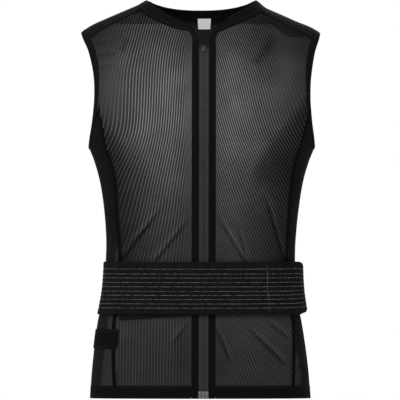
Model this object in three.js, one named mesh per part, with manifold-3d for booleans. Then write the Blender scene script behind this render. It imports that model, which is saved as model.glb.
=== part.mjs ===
// Back protector vest, a man's size L, with the form that it has when worn.
// Millimetres, +Z up. The front faces -Y and the wearer's right hand is at -X.
// The origin lies between the shoulders, level with the two neck points, where the vest hangs.
//
// One closed surface, the body form, carries every piece. Each cloth piece is a patch of it,
// thickened along its normals, and neighbours keep a small gap along their seams.

import * as THREE from 'three';
import { mergeVertices } from 'three/addons/utils/BufferGeometryUtils.js';
import Module from 'manifold-3d';

const wasm = await Module();
wasm.setup();

// Body form
const BODY_LENGTH = 680;        // neck point down to the hem
const ARMPIT_DROP = 248;        // neck point down to the bottom of the armhole
const SHOULDER_DROP = 56;       // neck point down to the shoulder tip
const NECK_HALF = 92;           // half of the width between the neck points
const SHOULDER_HALF = 204;      // half of the width over the shoulder tips
const CHEST_HALF = 192.5;       // half of the width at the armpits
const CHEST_FRONT = 125;        // depth from the side line to the front of the chest
const CHEST_BACK = 122;         // depth from the side line to the back
const SQUARENESS = 2.3;         // 2 gives oval cross sections, more gives squarer ones
const SHOULDER_ROUND = 70;      // height of the rounding over the shoulder
const SHOULDER_TIP_SHARE = 0.14; // share of the shoulder's drop that falls in its rounded tip
const SHOULDER_TIP_POWER = 8;   // how tight that rounding is
const NECK_RISE = 0.6;          // how steeply the body form rises inside the neck points
const SLACK_LEFT = 5.8;         // how far the left shoulder hangs below its line, and the right one
const SLACK_RIGHT = 1.8;
const SLACK_FULL = 113;         // the slack grows from the neck point to this place
const SLACK_EASE = [160, 200];  // and most of it goes again between these places
const SLACK_GONE = 0.65;        // the share that goes
const SLACK_DEPTH = [-130, -40]; // heights between which it grows upwards
const ARMHOLE_HOLLOW = 14.5;    // how far the armhole cuts inside the line from tip to armpit
const ARMHOLE_WRAP = 30;        // how far the body form goes on past the armhole's edge

// Cloth and seams
const SEAM_GAP = 0.3;           // between neighbouring pieces
const CURVED_SEAM_GAP = 0.8;    // where curved edges meet
const NECK_SEAM_GAP = 1.5;      // below the neck band
const LAYER_GAP = 0.6;          // between a piece and what lies on it
const MESH_WALL = 1.2;
const YOKE_WALL = 1.6;
const NECK_BAND_WALL = 2.4;
const BINDING_CROWN = 1.6;      // how far the armhole binding stands off along its middle
const BINDING_EDGE = 1.1;       // and along its edges
const BINDING_INNER = 1.3;      // how far it reaches inwards
const BINDING_WIDTH = 9;        // seen from the side
const PIPING_RISE = 1.2;        // how far the piping of the side seams stands off
const PIPING_INNER = 0.8;       // how far it reaches inwards
const PIPING_WIDTH = 3.4;
const HEM_WALL = 2.0;
const HEM_HEIGHT = 22;
const YOKE_FRONT_DROP = 16;     // the front yoke seam below the shoulder line
const YOKE_BACK_DROP = 20;      // the back yoke seam below the shoulder line
const NECK_FRONT_DROP = 46;     // neck points down to the corners of the front opening
const NECK_BACK_DROP = 16.5;    // neck points down to the middle of the back neck edge

// Zip
const ZIP_HALF = 8.2;           // half of the width of the two tapes together
const ZIP_SLIT = 0.7;           // between the closed tapes
const ZIP_TAPE_WALL = 1.0;
const ZIP_BAND_WIDTH = 12;
const ZIP_BAND_WALL = 1.8;
const ZIP_CLOSED_DROP = 86;     // neck points down to where the tapes meet
const ZIP_OPEN_HALF = 4.6;      // half of the spread of the tapes at the top
const ZIP_SHIFT = 4.7;          // the zip lies this far towards the wearer's left at the top
const ZIP_SHIFT_LEFT = 0.75;    // share of that shift that is left at the hem
const ZIP_NEAR = 23;            // the neck band follows the zip fully within this distance
const ZIP_FAR = 55;             // and no longer beyond this one
const ZIP_ROW_EASE = 1.5;       // crowds the rows of the zip's strips towards its top
const COIL_WIDTH = 5;
const COIL_WALL = 1.4;
const SLIDER_WIDTH = 8.5;
const SLIDER_LENGTH = 11;
const SLIDER_PLATE = 2;         // thickness
const SLIDER_CORNER = 2.5;
const SLIDER_RISE = 1.6;        // how far the slider lies above the place where the tapes meet
const BRIDGE_WIDTH = 3;
const BRIDGE_LENGTH = 7;
const BRIDGE_CORNER = 1.3;
const BRIDGE_SINK = 0.6;        // how deep the bridge sits in the slider's plate
const END_BOX_WIDTH = 18;
const END_BOX_LENGTH = 13;
const END_BOX_PLATE = 1.4;      // thickness
const END_BOX_CORNER = 1.5;
const LOBE_WIDTH = 4.7;
const LOBE_LENGTH = 11.7;
const LOBE_HEIGHT = 3.2;
const LOBE_CORNER = 1.8;
const LOBE_OFFSET = 6.1;        // from the zip's middle
const RING_RADIUS = 2.9;
const RING_WIRE = 1;            // radius of the ring's wire
const RING_DROP = 1.3;          // how far the ring lies below the middle of the box

// Kidney belt
const BELT_DROP = 446.5;        // neck points down to the belt's upper edge
const BELT_HEIGHT = 90.5;
const BELT_WALL = 2.6;
const BELT_CLEARANCE = 1.8;     // between the body form and the belt's inner face
const BELT_UNDER_END = 131;     // where the under wing ends, to the right of the middle
const BELT_UNDER_SAG = 8.5;     // how far that end hangs below the over wing
const BELT_END_LIFT = 7;        // how far the over wing's free end stands off
const BELT_END_ANGLE = 0.07;    // where the over wing ends, in radians from the side line
const BELT_END_EASE = 0.6;      // the angle over which it comes to stand off
const BELT_STEP_NEAR = 0.03;    // the over wing steps up onto the under wing between these angles,
const BELT_STEP_FAR = 0.25;     // counted from the under wing's end
const BELT_CORNER = 7;          // rounding of the free end's corners
const BELT_START = 12;          // the under wing starts to sag this far before the middle
const BELT_PAD_NEAR = 0.66;     // the back part lies fully on the protector within this share
const BELT_PAD_FAR = 0.98;      // of its half width, and not at all beyond this share

// Back protector
const PAD_TOP_DROP = 70;
const PAD_LENGTH = 520;
const PAD_HALF = 138;
const PAD_THICKNESS = 14;
const PAD_EDGE = 4;
const PAD_GAP = 1.0;            // between the back panel and the protector
const PAD_GROOVES = 6;
const PAD_GROOVE_DEPTH = 4;
const PAD_GROOVE_WIDTH = 10;
const PAD_EDGE_BREADTH = 28;    // the pad thins out over this breadth along its outline
const PAD_GROOVE_FADE = 20;     // and the grooves die out over this one
const PAD_COLUMNS = [-1, -0.9, -0.78, -0.6, -0.3, 0, 0.3, 0.6, 0.78, 0.9, 1];
const PAD_END_ROWS = [0, 0.015, 0.04, 0.08]; // shares of its length next to its top and bottom

// Small cloth pieces
const LABEL_WIDTH = 22.5;
const LABEL_HEIGHT = 19.5;
const LABEL_DROP = 30.5;
const LABEL_WALL = 0.6;
const PATCH_DROP = 562;
const PATCH_HEIGHT = 33;
const PATCH_WALL = 0.8;
const PATCH_LAP = 4;            // how far it laps over the front seam
const PATCH_TURN = 0.38;        // how far it reaches behind the side line, in radians

// Folds of the front panels
const FOLD_DEPTH = 2.4;
const FOLD_BREADTH = 9;
const FOLD_START = 0.35;        // share of a fold's depth at its start
const FOLD_WAVE = 1.9;          // how far the wave across a fold turns within its breadth
const FOLD_FADE = 14;           // the folds die out over this height next to the belt

// Level 0 is the neck points, 1 the armpits and 2 the hem.
// half, front and back are shares of the chest sizes, and sway is a share of the chest's half width.
const BODY = [
  { level: -0.2, half: 1.000, front: 0.48, back: 0.50, sway: 0.000 },
  { level: 0.00, half: 1.000, front: 0.50, back: 0.56, sway: 0.000 },
  { level: 0.20, half: 1.000, front: 0.61, back: 0.74, sway: -0.006 },
  { level: 0.35, half: 1.000, front: 0.70, back: 0.87, sway: 0.004 },
  { level: 0.50, half: 1.000, front: 0.825, back: 0.96, sway: 0.010 },
  { level: 0.70, half: 1.000, front: 0.945, back: 1.00, sway: 0.009 },
  { level: 0.90, half: 1.000, front: 0.992, back: 0.99, sway: 0.006 },
  { level: 1.00, half: 1.000, front: 1.000, back: 0.975, sway: 0.004 },
  { level: 1.06, half: 0.952, front: 0.992, back: 0.955, sway: 0.003 },
  { level: 1.14, half: 0.901, front: 0.968, back: 0.918, sway: 0.002 },
  { level: 1.25, half: 0.862, front: 0.912, back: 0.845, sway: 0.001 },
  { level: 1.37, half: 0.839, front: 0.856, back: 0.770, sway: -0.003 },
  { level: 1.455, half: 0.838, front: 0.832, back: 0.745, sway: -0.008 },
  { level: 1.56, half: 0.850, front: 0.824, back: 0.760, sway: -0.011 },
  { level: 1.64, half: 0.876, front: 0.830, back: 0.800, sway: -0.014 },
  { level: 1.70, half: 0.904, front: 0.848, back: 0.845, sway: -0.015 },
  { level: 1.80, half: 0.936, front: 0.872, back: 0.920, sway: -0.012 },
  { level: 1.90, half: 0.961, front: 0.888, back: 0.975, sway: -0.010 },
  { level: 2.00, half: 0.976, front: 0.896, back: 1.000, sway: -0.009 },
];

// down runs from the shoulder tip, 0, to the armpit, 1.
const ARMHOLE = [
  { down: 0.00, hollow: 0.00, wrap: 0.97 },
  { down: 0.06, hollow: 0.19, wrap: 0.98 },
  { down: 0.15, hollow: 0.58, wrap: 1.00 },
  { down: 0.28, hollow: 0.86, wrap: 0.96 },
  { down: 0.42, hollow: 1.00, wrap: 0.90 },
  { down: 0.58, hollow: 0.92, wrap: 0.80 },
  { down: 0.70, hollow: 0.72, wrap: 0.64 },
  { down: 0.82, hollow: 0.46, wrap: 0.38 },
  { down: 0.93, hollow: 0.16, wrap: 0.15 },
  { down: 1.00, hollow: 0.00, wrap: 0.00 },
];

// The seams between the front, side and back panels, as shares of the body's half width.
const SIDE_SEAMS = [
  { level: 0.70, frontRight: 0.865, frontLeft: 0.900, back: 0.870 },
  { level: 0.85, frontRight: 0.861, frontLeft: 0.892, back: 0.868 },
  { level: 1.00, frontRight: 0.858, frontLeft: 0.875, back: 0.862 },
  { level: 1.12, frontRight: 0.856, frontLeft: 0.890, back: 0.850 },
  { level: 1.30, frontRight: 0.876, frontLeft: 0.912, back: 0.845 },
  { level: 1.45, frontRight: 0.850, frontLeft: 0.914, back: 0.840 },
  { level: 1.68, frontRight: 0.840, frontLeft: 0.920, back: 0.830 },
  { level: 1.85, frontRight: 0.808, frontLeft: 0.875, back: 0.820 },
  { level: 2.00, frontRight: 0.770, frontLeft: 0.835, back: 0.810 },
];

// Half of the neck band, from the zip over the shoulder (side 0) to the middle of the back.
// Across is a share of NECK_HALF, and down a share of the front or back neck drop.
const NECK_BAND = [
  { side: 1, edgeAcross: 0.065, edgeDown: 1.57, seamAcross: 0.196, seamDown: 1.57 },
  { side: 1, edgeAcross: 0.130, edgeDown: 1.28, seamAcross: 0.212, seamDown: 1.38 },
  { side: 1, edgeAcross: 0.214, edgeDown: 1.00, seamAcross: 0.270, seamDown: 1.16 },
  { side: 1, edgeAcross: 0.330, edgeDown: 0.85, seamAcross: 0.400, seamDown: 1.07 },
  { side: 1, edgeAcross: 0.490, edgeDown: 0.66, seamAcross: 0.560, seamDown: 0.96 },
  { side: 1, edgeAcross: 0.680, edgeDown: 0.45, seamAcross: 0.800, seamDown: 0.75 },
  { side: 1, edgeAcross: 0.860, edgeDown: 0.24, seamAcross: 1.020, seamDown: 0.53 },
  { side: 1, edgeAcross: 0.955, edgeDown: 0.10, seamAcross: 1.110, seamDown: 0.42 },
  { side: 1, edgeAcross: 0.988, edgeDown: 0.03, seamAcross: 1.128, seamDown: 0.19 },
  { side: 0, edgeAcross: 1.000, edgeDown: 0.00, seamAcross: 1.134, seamDown: 0.00 },
  { side: -1, edgeAcross: 0.990, edgeDown: 0.03, seamAcross: 1.128, seamDown: 0.56 },
  { side: -1, edgeAcross: 0.960, edgeDown: 0.10, seamAcross: 1.110, seamDown: 1.15 },
  { side: -1, edgeAcross: 0.860, edgeDown: 0.36, seamAcross: 0.960, seamDown: 1.52 },
  { side: -1, edgeAcross: 0.680, edgeDown: 0.66, seamAcross: 0.740, seamDown: 1.80 },
  { side: -1, edgeAcross: 0.450, edgeDown: 0.88, seamAcross: 0.480, seamDown: 1.98 },
  { side: -1, edgeAcross: 0.220, edgeDown: 0.98, seamAcross: 0.230, seamDown: 2.07 },
  { side: -1, edgeAcross: 0.000, edgeDown: 1.00, seamAcross: 0.000, seamDown: 2.09 },
];

// How far the yoke seams lie below the shoulder line, from the neck, 0, to the armhole, 1.
const YOKE_SEAM = [
  { out: -1.0, drop: 0.90 },
  { out: 0.00, drop: 0.90 },
  { out: 0.50, drop: 1.02 },
  { out: 0.80, drop: 1.25 },
  { out: 1.00, drop: 1.62 },
];

// The protector's half width, from its top, 0, to its bottom, 1.
const PAD_OUTLINE = [
  { down: 0.000, half: 0.34 },
  { down: 0.015, half: 0.52 },
  { down: 0.040, half: 0.68 },
  { down: 0.080, half: 0.82 },
  { down: 0.140, half: 0.94 },
  { down: 0.240, half: 1.00 },
  { down: 0.45, half: 0.90 },
  { down: 0.65, half: 0.76 },
  { down: 0.85, half: 0.78 },
  { down: 0.92, half: 0.72 },
  { down: 0.96, half: 0.62 },
  { down: 0.985, half: 0.48 },
  { down: 1.00, half: 0.32 },
];

// Drag folds of the front: across as a share of CHEST_HALF, down as a share of BODY_LENGTH.
const FOLDS = [
  { acrossFrom: -0.37, downFrom: 0.515, acrossTo: -0.71, downTo: 0.645, depth: 1.0, breadth: 1.0 },
  { acrossFrom: -0.13, downFrom: 0.545, acrossTo: -0.43, downTo: 0.655, depth: 0.9, breadth: 1.0 },
  { acrossFrom: 0.18, downFrom: 0.540, acrossTo: 0.38, downTo: 0.655, depth: 0.9, breadth: 0.8 },
  { acrossFrom: 0.55, downFrom: 0.520, acrossTo: 0.74, downTo: 0.650, depth: 1.0, breadth: 1.0 },
  { acrossFrom: 0.80, downFrom: 0.105, acrossTo: 0.45, downTo: 0.150, depth: 0.8, breadth: 1.3 },
  { acrossFrom: -0.11, downFrom: 0.800, acrossTo: -0.24, downTo: 0.850, depth: 0.7, breadth: 0.8 },
  { acrossFrom: 0.14, downFrom: 0.805, acrossTo: 0.28, downTo: 0.895, depth: 0.8, breadth: 0.9 },
  { acrossFrom: 0.44, downFrom: 0.815, acrossTo: 0.74, downTo: 0.900, depth: 1.0, breadth: 1.1 },
  { acrossFrom: 0.60, downFrom: 0.795, acrossTo: 0.78, downTo: 0.838, depth: 0.8, breadth: 0.8 },
];

// How finely the pieces are divided. A panel's inner columns reach to the corner of its top edge,
// and its lower rows to the corner where its side seam meets the armhole.
const GRID = {
  front: { inner: 9, outer: 5, lower: 15, upper: 7, ease: 1.35 },
  back: { inner: 6, outer: 3, lower: 13, upper: 6, ease: 0.8 },
  side: { columns: 10, rows: 14 },
  yoke: { columns: 6, rows: 8 },
  neck: { columns: 4 },         // for each station
  binding: { columns: 40 },
  rim: { rows: 60 },
  zip: { rows: 16 },
  hem: { columns: 50 },
  beltBack: { columns: 24 },
  beltUnder: { columns: 24 },
  beltOver: { columns: 30, corner: [1, 0.5, 0.15, 0] },
  label: { columns: 3, rows: 3 },
  patch: { columns: 10, rows: 2 },
};

const HANDS = [
  { name: 'right', sign: -1, frontSeam: 'frontRight' },
  { name: 'left', sign: 1, frontSeam: 'frontLeft' },
];
const FRONT = 1;
const BACK = -1;
const EPSILON = 1e-6;
const ROUNDS = 26;              // halvings of an interval when a place is searched for

const clamp = (value, low, high) => Math.min(high, Math.max(low, value));
const mix = THREE.MathUtils.lerp;
const smooth = (value, low, high) => THREE.MathUtils.smoothstep(value, low, high);

function steps(count, from = 0, to = 1) {
  return Array.from({ length: count + 1 }, (_, i) => mix(from, to, i / count));
}

// Reads a column of a table with a smooth curve through its rows.
function read(table, key, column, at) {
  const last = table.length - 1;
  if (at <= table[0][key]) return table[0][column];
  if (at >= table[last][key]) return table[last][column];
  const i = table.findIndex((row) => row[key] > at) - 1;
  const slope = (j) => {
    const before = table[Math.max(j - 1, 0)];
    const after = table[Math.min(j + 1, last)];
    return (after[column] - before[column]) / (after[key] - before[key]);
  };
  const span = table[i + 1][key] - table[i][key];
  const t = (at - table[i][key]) / span;
  const rise = table[i + 1][column] - table[i][column];
  const near = slope(i) * span;
  const far = slope(i + 1) * span;
  return table[i][column] + t * near + t * t * (3 * rise - 2 * near - far)
    + t * t * t * (near + far - 2 * rise);
}

// The highest value between a passing and a failing one that still passes a test.
function limitOf(passes, good, bad) {
  let inside = good;
  let outside = bad;
  for (let round = 0; round < ROUNDS; round += 1) {
    const middle = (inside + outside) / 2;
    if (passes(middle)) inside = middle;
    else outside = middle;
  }
  return inside;
}

function levelOf(z) {
  if (-z < ARMPIT_DROP) return -z / ARMPIT_DROP;
  return 1 + (-z - ARMPIT_DROP) / (BODY_LENGTH - ARMPIT_DROP);
}

const body = (column, z) => read(BODY, 'level', column, levelOf(z));

function downArmhole(z) {
  return clamp((-z - SHOULDER_DROP) / (ARMPIT_DROP - SHOULDER_DROP), 0, 1);
}

function armholeEdge(z) {
  const down = downArmhole(z);
  return mix(SHOULDER_HALF, CHEST_HALF, down) - ARMHOLE_HOLLOW * read(ARMHOLE, 'down', 'hollow', down);
}

function bodyHalf(z) {
  if (-z > ARMPIT_DROP) return CHEST_HALF * body('half', z);
  return armholeEdge(z) + ARMHOLE_WRAP * read(ARMHOLE, 'down', 'wrap', downArmhole(z));
}

// The shoulder line falls away from the neck point and is rounded off at the tip.
function shoulderLine(x) {
  const out = (Math.abs(x) - NECK_HALF) / (SHOULDER_HALF - NECK_HALF);
  if (out < 0) return (NECK_HALF - Math.abs(x)) * NECK_RISE;
  const capped = Math.min(out, 1);
  return -SHOULDER_DROP * mix(capped, capped ** SHOULDER_TIP_POWER, SHOULDER_TIP_SHARE);
}

// A drag fold is a ridge with a valley on each side, deeper towards its end.
function foldRise(x, z) {
  const beltTop = -BELT_DROP;
  const beltBottom = beltTop - BELT_HEIGHT;
  const fromBelt = Math.max(z - beltTop, beltBottom - z, 0);
  let rise = 0;
  for (const row of FOLDS) {
    const startX = row.acrossFrom * CHEST_HALF;
    const startZ = -row.downFrom * BODY_LENGTH;
    const spanX = row.acrossTo * CHEST_HALF - startX;
    const spanZ = -row.downTo * BODY_LENGTH - startZ;
    const length = Math.hypot(spanX, spanZ);
    const along = clamp(((x - startX) * spanX + (z - startZ) * spanZ) / length ** 2, 0, 1);
    const distance = Math.hypot(x - startX - along * spanX, z - startZ - along * spanZ);
    const reach = distance / (FOLD_BREADTH * row.breadth);
    const strength = row.depth * mix(FOLD_START, 1, along);
    rise += strength * Math.cos(reach * FOLD_WAVE) * Math.exp(-reach * reach);
  }
  return rise * FOLD_DEPTH * smooth(fromBelt, 0, FOLD_FADE);
}

// The depth of the body form, without the rounding over the shoulder.
function fullDepth(x, z, side) {
  const depth = side === FRONT ? CHEST_FRONT * body('front', z) : CHEST_BACK * body('back', z);
  const across = Math.min(Math.abs(x) / bodyHalf(z), 1);
  return depth * (1 - across ** SQUARENESS) ** (1 / SQUARENESS);
}

function shoulderCap(x, z) {
  const drop = shoulderLine(x) - z;
  if (drop <= 0) return 0;
  if (drop >= SHOULDER_ROUND) return 1;
  return Math.sqrt(1 - (1 - drop / SHOULDER_ROUND) ** 2);
}

const depthAt = (x, z, side) => fullDepth(x, z, side) * shoulderCap(x, z);

// Two charts of the same surface. The first runs over the shoulder: across, and the way down from
// the shoulder line, positive to the front. The second runs around the body: an angle, from the
// wearer's left side line towards the front, and the height.
const QUARTER = SHOULDER_ROUND * Math.PI / 2;

const overShoulder = {
  steps: [0.5, 0.5],
  at(x, way) {
    const side = way >= 0 ? FRONT : BACK;
    const reach = Math.abs(way);
    const angle = Math.min(reach, QUARTER) / SHOULDER_ROUND;
    const drop = SHOULDER_ROUND * (1 - Math.cos(angle)) + Math.max(reach - QUARTER, 0);
    const z = shoulderLine(x) - drop;
    const depth = fullDepth(x, z, side) * Math.sin(angle);
    return new THREE.Vector3(x, side === FRONT ? -depth - foldRise(x, z) : depth, z);
  },
};

function wayTo(x, z, side) {
  const drop = Math.max(shoulderLine(x) - z, 0);
  const turn = Math.acos(1 - Math.min(drop, SHOULDER_ROUND) / SHOULDER_ROUND);
  return side * (turn * SHOULDER_ROUND + Math.max(drop - SHOULDER_ROUND, 0));
}

const power = (value) => Math.sign(value) * Math.abs(value) ** (2 / SQUARENESS);

const aroundBody = {
  steps: [0.004, 0.5],
  at(angle, z) {
    const front = Math.sin(angle) >= 0;
    const depth = front ? CHEST_FRONT * body('front', z) : CHEST_BACK * body('back', z);
    const x = bodyHalf(z) * power(Math.cos(angle));
    const y = -depth * power(Math.sin(angle)) * shoulderCap(x, z);
    return new THREE.Vector3(x, front ? y - foldRise(x, z) : y, z);
  },
};

// The same chart without folds, for the belt that lies over them.
const aroundSmooth = {
  steps: aroundBody.steps,
  at(angle, z) {
    const point = aroundBody.at(angle, z);
    if (Math.sin(angle) >= 0) point.y += foldRise(point.x, z);
    return point;
  },
};

// The angle at which the body form has a given half width share, on either hand and side.
function angleAt(share, hand, side) {
  const turn = Math.acos(clamp(share, 0, 1) ** (SQUARENESS / 2)) * side;
  return hand.sign > 0 ? turn : Math.PI - turn;
}

// The shoulders of the worn vest sag between the neck and the tips.
function slack(x, z) {
  const out = Math.abs(x);
  const along = smooth(out, NECK_HALF, SLACK_FULL) * (1 - SLACK_GONE * smooth(out, ...SLACK_EASE));
  return (x > 0 ? SLACK_LEFT : SLACK_RIGHT) * along * smooth(z, ...SLACK_DEPTH);
}

// A point raised from the surface along its normal, in the stance of the worn vest.
function raised(chart, a, b, height) {
  const [stepA, stepB] = chart.steps;
  const alongA = chart.at(a + stepA, b).sub(chart.at(a - stepA, b));
  const alongB = chart.at(a, b + stepB).sub(chart.at(a, b - stepB));
  const normal = alongB.cross(alongA).normalize();
  const point = chart.at(a, b).addScaledVector(normal, height);
  point.x += CHEST_HALF * body('sway', point.z);
  point.z -= slack(point.x, point.z);
  return point;
}

function signedVolume(points, faces) {
  let volume = 0;
  for (const [a, b, c] of faces) volume += points[a].dot(points[b].clone().cross(points[c]));
  return volume / 6;
}

function geometryOf(points, faces) {
  const outward = signedVolume(points, faces) > 0 ? faces : faces.map(([a, b, c]) => [a, c, b]);
  const geometry = new THREE.BufferGeometry();
  const flat = points.flatMap((point) => [point.x, point.y, point.z]);
  geometry.setAttribute('position', new THREE.Float32BufferAttribute(flat, 3));
  geometry.setIndex(outward.flat());
  geometry.computeVertexNormals();
  return geometry;
}

// A cloth wall: a grid of the surface given two faces and closed edges.
function wall({ chart, columns, rows, place, inner, outer, loop = false }) {
  const wide = columns.length;
  const points = [];
  for (const height of [inner, outer]) {
    for (const v of rows) {
      for (const u of columns) {
        const [a, b, own] = place(u, v);
        const lift = typeof height === 'function' ? height(u, v) : height;
        points.push(raised(own ?? chart, a, b, lift));
      }
    }
  }
  const layer = wide * rows.length;
  const index = (i, j, level) => (i % wide) + j * wide + level * layer;
  const faces = [];
  const quad = (a, b, c, d) => faces.push([a, b, c], [a, c, d]);
  const across = loop ? wide : wide - 1;
  for (let j = 0; j < rows.length - 1; j += 1) {
    for (let i = 0; i < across; i += 1) {
      quad(index(i, j, 1), index(i + 1, j, 1), index(i + 1, j + 1, 1), index(i, j + 1, 1));
      quad(index(i, j, 0), index(i, j + 1, 0), index(i + 1, j + 1, 0), index(i + 1, j, 0));
    }
  }
  const top = rows.length - 1;
  for (let i = 0; i < across; i += 1) {
    quad(index(i, 0, 0), index(i + 1, 0, 0), index(i + 1, 0, 1), index(i, 0, 1));
    quad(index(i, top, 1), index(i + 1, top, 1), index(i + 1, top, 0), index(i, top, 0));
  }
  if (!loop) {
    const end = wide - 1;
    for (let j = 0; j < top; j += 1) {
      quad(index(0, j, 0), index(0, j, 1), index(0, j + 1, 1), index(0, j + 1, 0));
      quad(index(end, j, 1), index(end, j, 0), index(end, j + 1, 0), index(end, j + 1, 1));
    }
  }
  return geometryOf(points, faces);
}

// The armhole's rim as it looks from the side, moved outwards from the hole by a distance.
function armholeRim(distance) {
  const samples = GRID.rim.rows;
  const edge = [];
  for (const side of [FRONT, BACK]) {
    for (let k = 0; k <= samples; k += 1) {
      const turn = (1 - Math.cos(Math.PI * k / samples)) / 2;
      const z = mix(-SHOULDER_DROP, -ARMPIT_DROP, side === FRONT ? turn : 1 - turn);
      edge.push(new THREE.Vector2(-side * depthAt(armholeEdge(z), z, side), z));
    }
  }
  const rim = edge.filter((point, k) => k === 0 || point.distanceTo(edge[k - 1]) > 0.05);
  if (rim[0].distanceTo(rim[rim.length - 1]) < 0.05) rim.pop();
  return rim.map((point, k) => {
    const before = rim[(k + rim.length - 1) % rim.length];
    const after = rim[(k + 1) % rim.length];
    const along = after.clone().sub(before).normalize();
    return point.clone().add(new THREE.Vector2(along.y, -along.x).multiplyScalar(distance));
  });
}

// Where the body form has a given depth, at a given height.
function acrossAt(depth, z, side) {
  return limitOf((x) => depthAt(x, z, side) > Math.abs(depth), NECK_HALF / 2, bodyHalf(z));
}

// The rim's depth on one side of the vest at a height, or null above and below the rim.
function rimDepth(rim, z, side) {
  for (let k = 0; k < rim.length; k += 1) {
    const a = rim[k];
    const b = rim[(k + 1) % rim.length];
    const onSide = -side * (a.x + b.x) >= 0;
    if (onSide && (a.y - z) * (b.y - z) <= 0 && a.y !== b.y) {
      return Math.abs(mix(a.x, b.x, (z - a.y) / (b.y - a.y)));
    }
  }
  return null;
}

const NEIGHBOUR_RIM = armholeRim(BINDING_WIDTH + CURVED_SEAM_GAP);
const rimHeights = NEIGHBOUR_RIM.map((point) => point.y);
const RIM_TOP = Math.max(...rimHeights);
const RIM_BOTTOM = Math.min(...rimHeights);

function rimAcross(z, side) {
  const depth = rimDepth(NEIGHBOUR_RIM, z, side);
  return depth === null ? Infinity : acrossAt(depth, z, side);
}

// The height at which a line down the side panel meets the armhole's rim.
function heightAtRim(angleOf) {
  const isCloth = (z) => {
    if (z <= RIM_BOTTOM) return true;
    const angle = angleOf(z);
    const side = Math.sin(angle) >= 0 ? FRONT : BACK;
    const depth = Math.abs(aroundSmooth.at(angle, z).y);
    const rim = rimDepth(NEIGHBOUR_RIM, z, side);
    return rim !== null && depth > rim;
  };
  return limitOf(isCloth, RIM_BOTTOM - EPSILON, mix(-ARMPIT_DROP, -SHOULDER_DROP, 0.6));
}

// A side seam's place, moved outwards by a distance seen from the front.
function seamAcross(z, hand, side, shift) {
  const column = side === FRONT ? hand.frontSeam : 'back';
  return bodyHalf(z) * read(SIDE_SEAMS, 'level', column, levelOf(z)) + shift;
}

const seamAngle = (z, hand, side, shift) =>
  angleAt(seamAcross(z, hand, side, shift) / bodyHalf(z), hand, side);

const HEM_TOP = -BODY_LENGTH + HEM_HEIGHT;
const PANEL_BOTTOM = HEM_TOP + SEAM_GAP;

// The zip leans a little: the shift at the top dies out towards the hem.
function zipMiddle(z) {
  return ZIP_SHIFT * mix(1, ZIP_SHIFT_LEFT, clamp(-z / BODY_LENGTH, 0, 1)) - CHEST_HALF * body('sway', z);
}

const yokeOut = (x) => (Math.abs(x) - NECK_HALF) / (SHOULDER_HALF - NECK_HALF);

function yokeSeam(x, side) {
  const drop = side === FRONT ? YOKE_FRONT_DROP : YOKE_BACK_DROP;
  return shoulderLine(x) - drop * read(YOKE_SEAM, 'out', 'drop', yokeOut(x));
}

// The neck band's two edges as stations in the chart over the shoulder. Next to the shoulder line,
// where the band, the yoke and a panel meet, its seam lies on the yoke's seam.
const SHOULDER_STATION = NECK_BAND.findIndex((row) => row.side === 0);
const CORNER_STEP = 2;          // stations between the shoulder line and such a corner
const NECK_STATIONS = NECK_BAND.map((row, index) => {
  const drop = row.side === BACK ? NECK_BACK_DROP : NECK_FRONT_DROP;
  const edgeX = row.edgeAcross * NECK_HALF;
  const seamX = row.seamAcross * NECK_HALF;
  const corner = Math.abs(index - SHOULDER_STATION) === CORNER_STEP;
  const seamZ = corner ? yokeSeam(seamX, row.side) : -row.seamDown * drop;
  return {
    index,
    edgeX,
    seamX,
    edgeWay: row.side === 0 ? 0 : wayTo(edgeX, -row.edgeDown * drop, row.side),
    seamWay: row.side === 0 ? 0 : wayTo(seamX, seamZ, row.side),
  };
});
const LAST_STATION = NECK_STATIONS.length - 1;
const ZIP_TOP_DROP = NECK_BAND[0].seamDown * NECK_FRONT_DROP + SEAM_GAP;

// A place on the neck band: a station, and a share from its seam, 0, to its free edge, 1.
function neckPlace(at, share, hand) {
  const value = (column) => read(NECK_STATIONS, 'index', column, at);
  const x = mix(value('seamX'), value('edgeX'), share);
  const way = mix(value('seamWay'), value('edgeWay'), share);
  if (way <= 0) return [hand.sign * x, way];
  const z = overShoulder.at(x, way).z;
  const nearZip = 1 - smooth(x, ZIP_NEAR, ZIP_FAR);
  const shifted = hand.sign * x + nearZip * zipMiddle(z);
  return [shifted, wayTo(shifted, z, FRONT)];
}

// The height of the neck band's seam at a place across the front or the back.
function neckSeam(x, side, hand) {
  const across = (at) => hand.sign * neckPlace(at, 0, hand)[0];
  const from = side === FRONT ? 0 : LAST_STATION;
  const at = limitOf((station) => across(station) < x, from, SHOULDER_STATION - side);
  const [a, b] = neckPlace(at, 0, hand);
  return overShoulder.at(a, b).z;
}

const cornerAcross = (side) => NECK_STATIONS[SHOULDER_STATION - side * CORNER_STEP].seamX;

// The top edge of the front or back panel, below the neck band and the yoke.
function panelTop(x, side, hand) {
  if (x > cornerAcross(side) + CURVED_SEAM_GAP) return yokeSeam(x, side) - SEAM_GAP;
  return neckSeam(x, side, hand) - NECK_SEAM_GAP;
}

// The outer edge of the front or back panel, at the side seam and then at the armhole.
const panelSeam = (z, hand, side) =>
  seamAcross(z, hand, side, -PIPING_WIDTH / 2 - CURVED_SEAM_GAP);

const panelEdge = (z, hand, side) =>
  Math.min(panelSeam(z, hand, side), rimAcross(Math.min(z, RIM_TOP), side));

function panelWidest(hand, side) {
  const meets = (z) => z < yokeSeam(panelEdge(z, hand, side), side) - SEAM_GAP;
  return panelEdge(limitOf(meets, -ARMPIT_DROP, -SHOULDER_DROP + EPSILON), hand, side);
}

// Columns of a panel, with one that runs into the corner between neck band and yoke.
const splitColumns = (corner, grid) => [
  ...steps(grid.inner).map((share) => corner * share ** grid.ease),
  ...steps(grid.outer, corner, 1).slice(1),
];

// Rows of a panel, with one that runs into the corner between its side seam and the armhole.
const LOWER_SHARE = 0.7;

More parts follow.
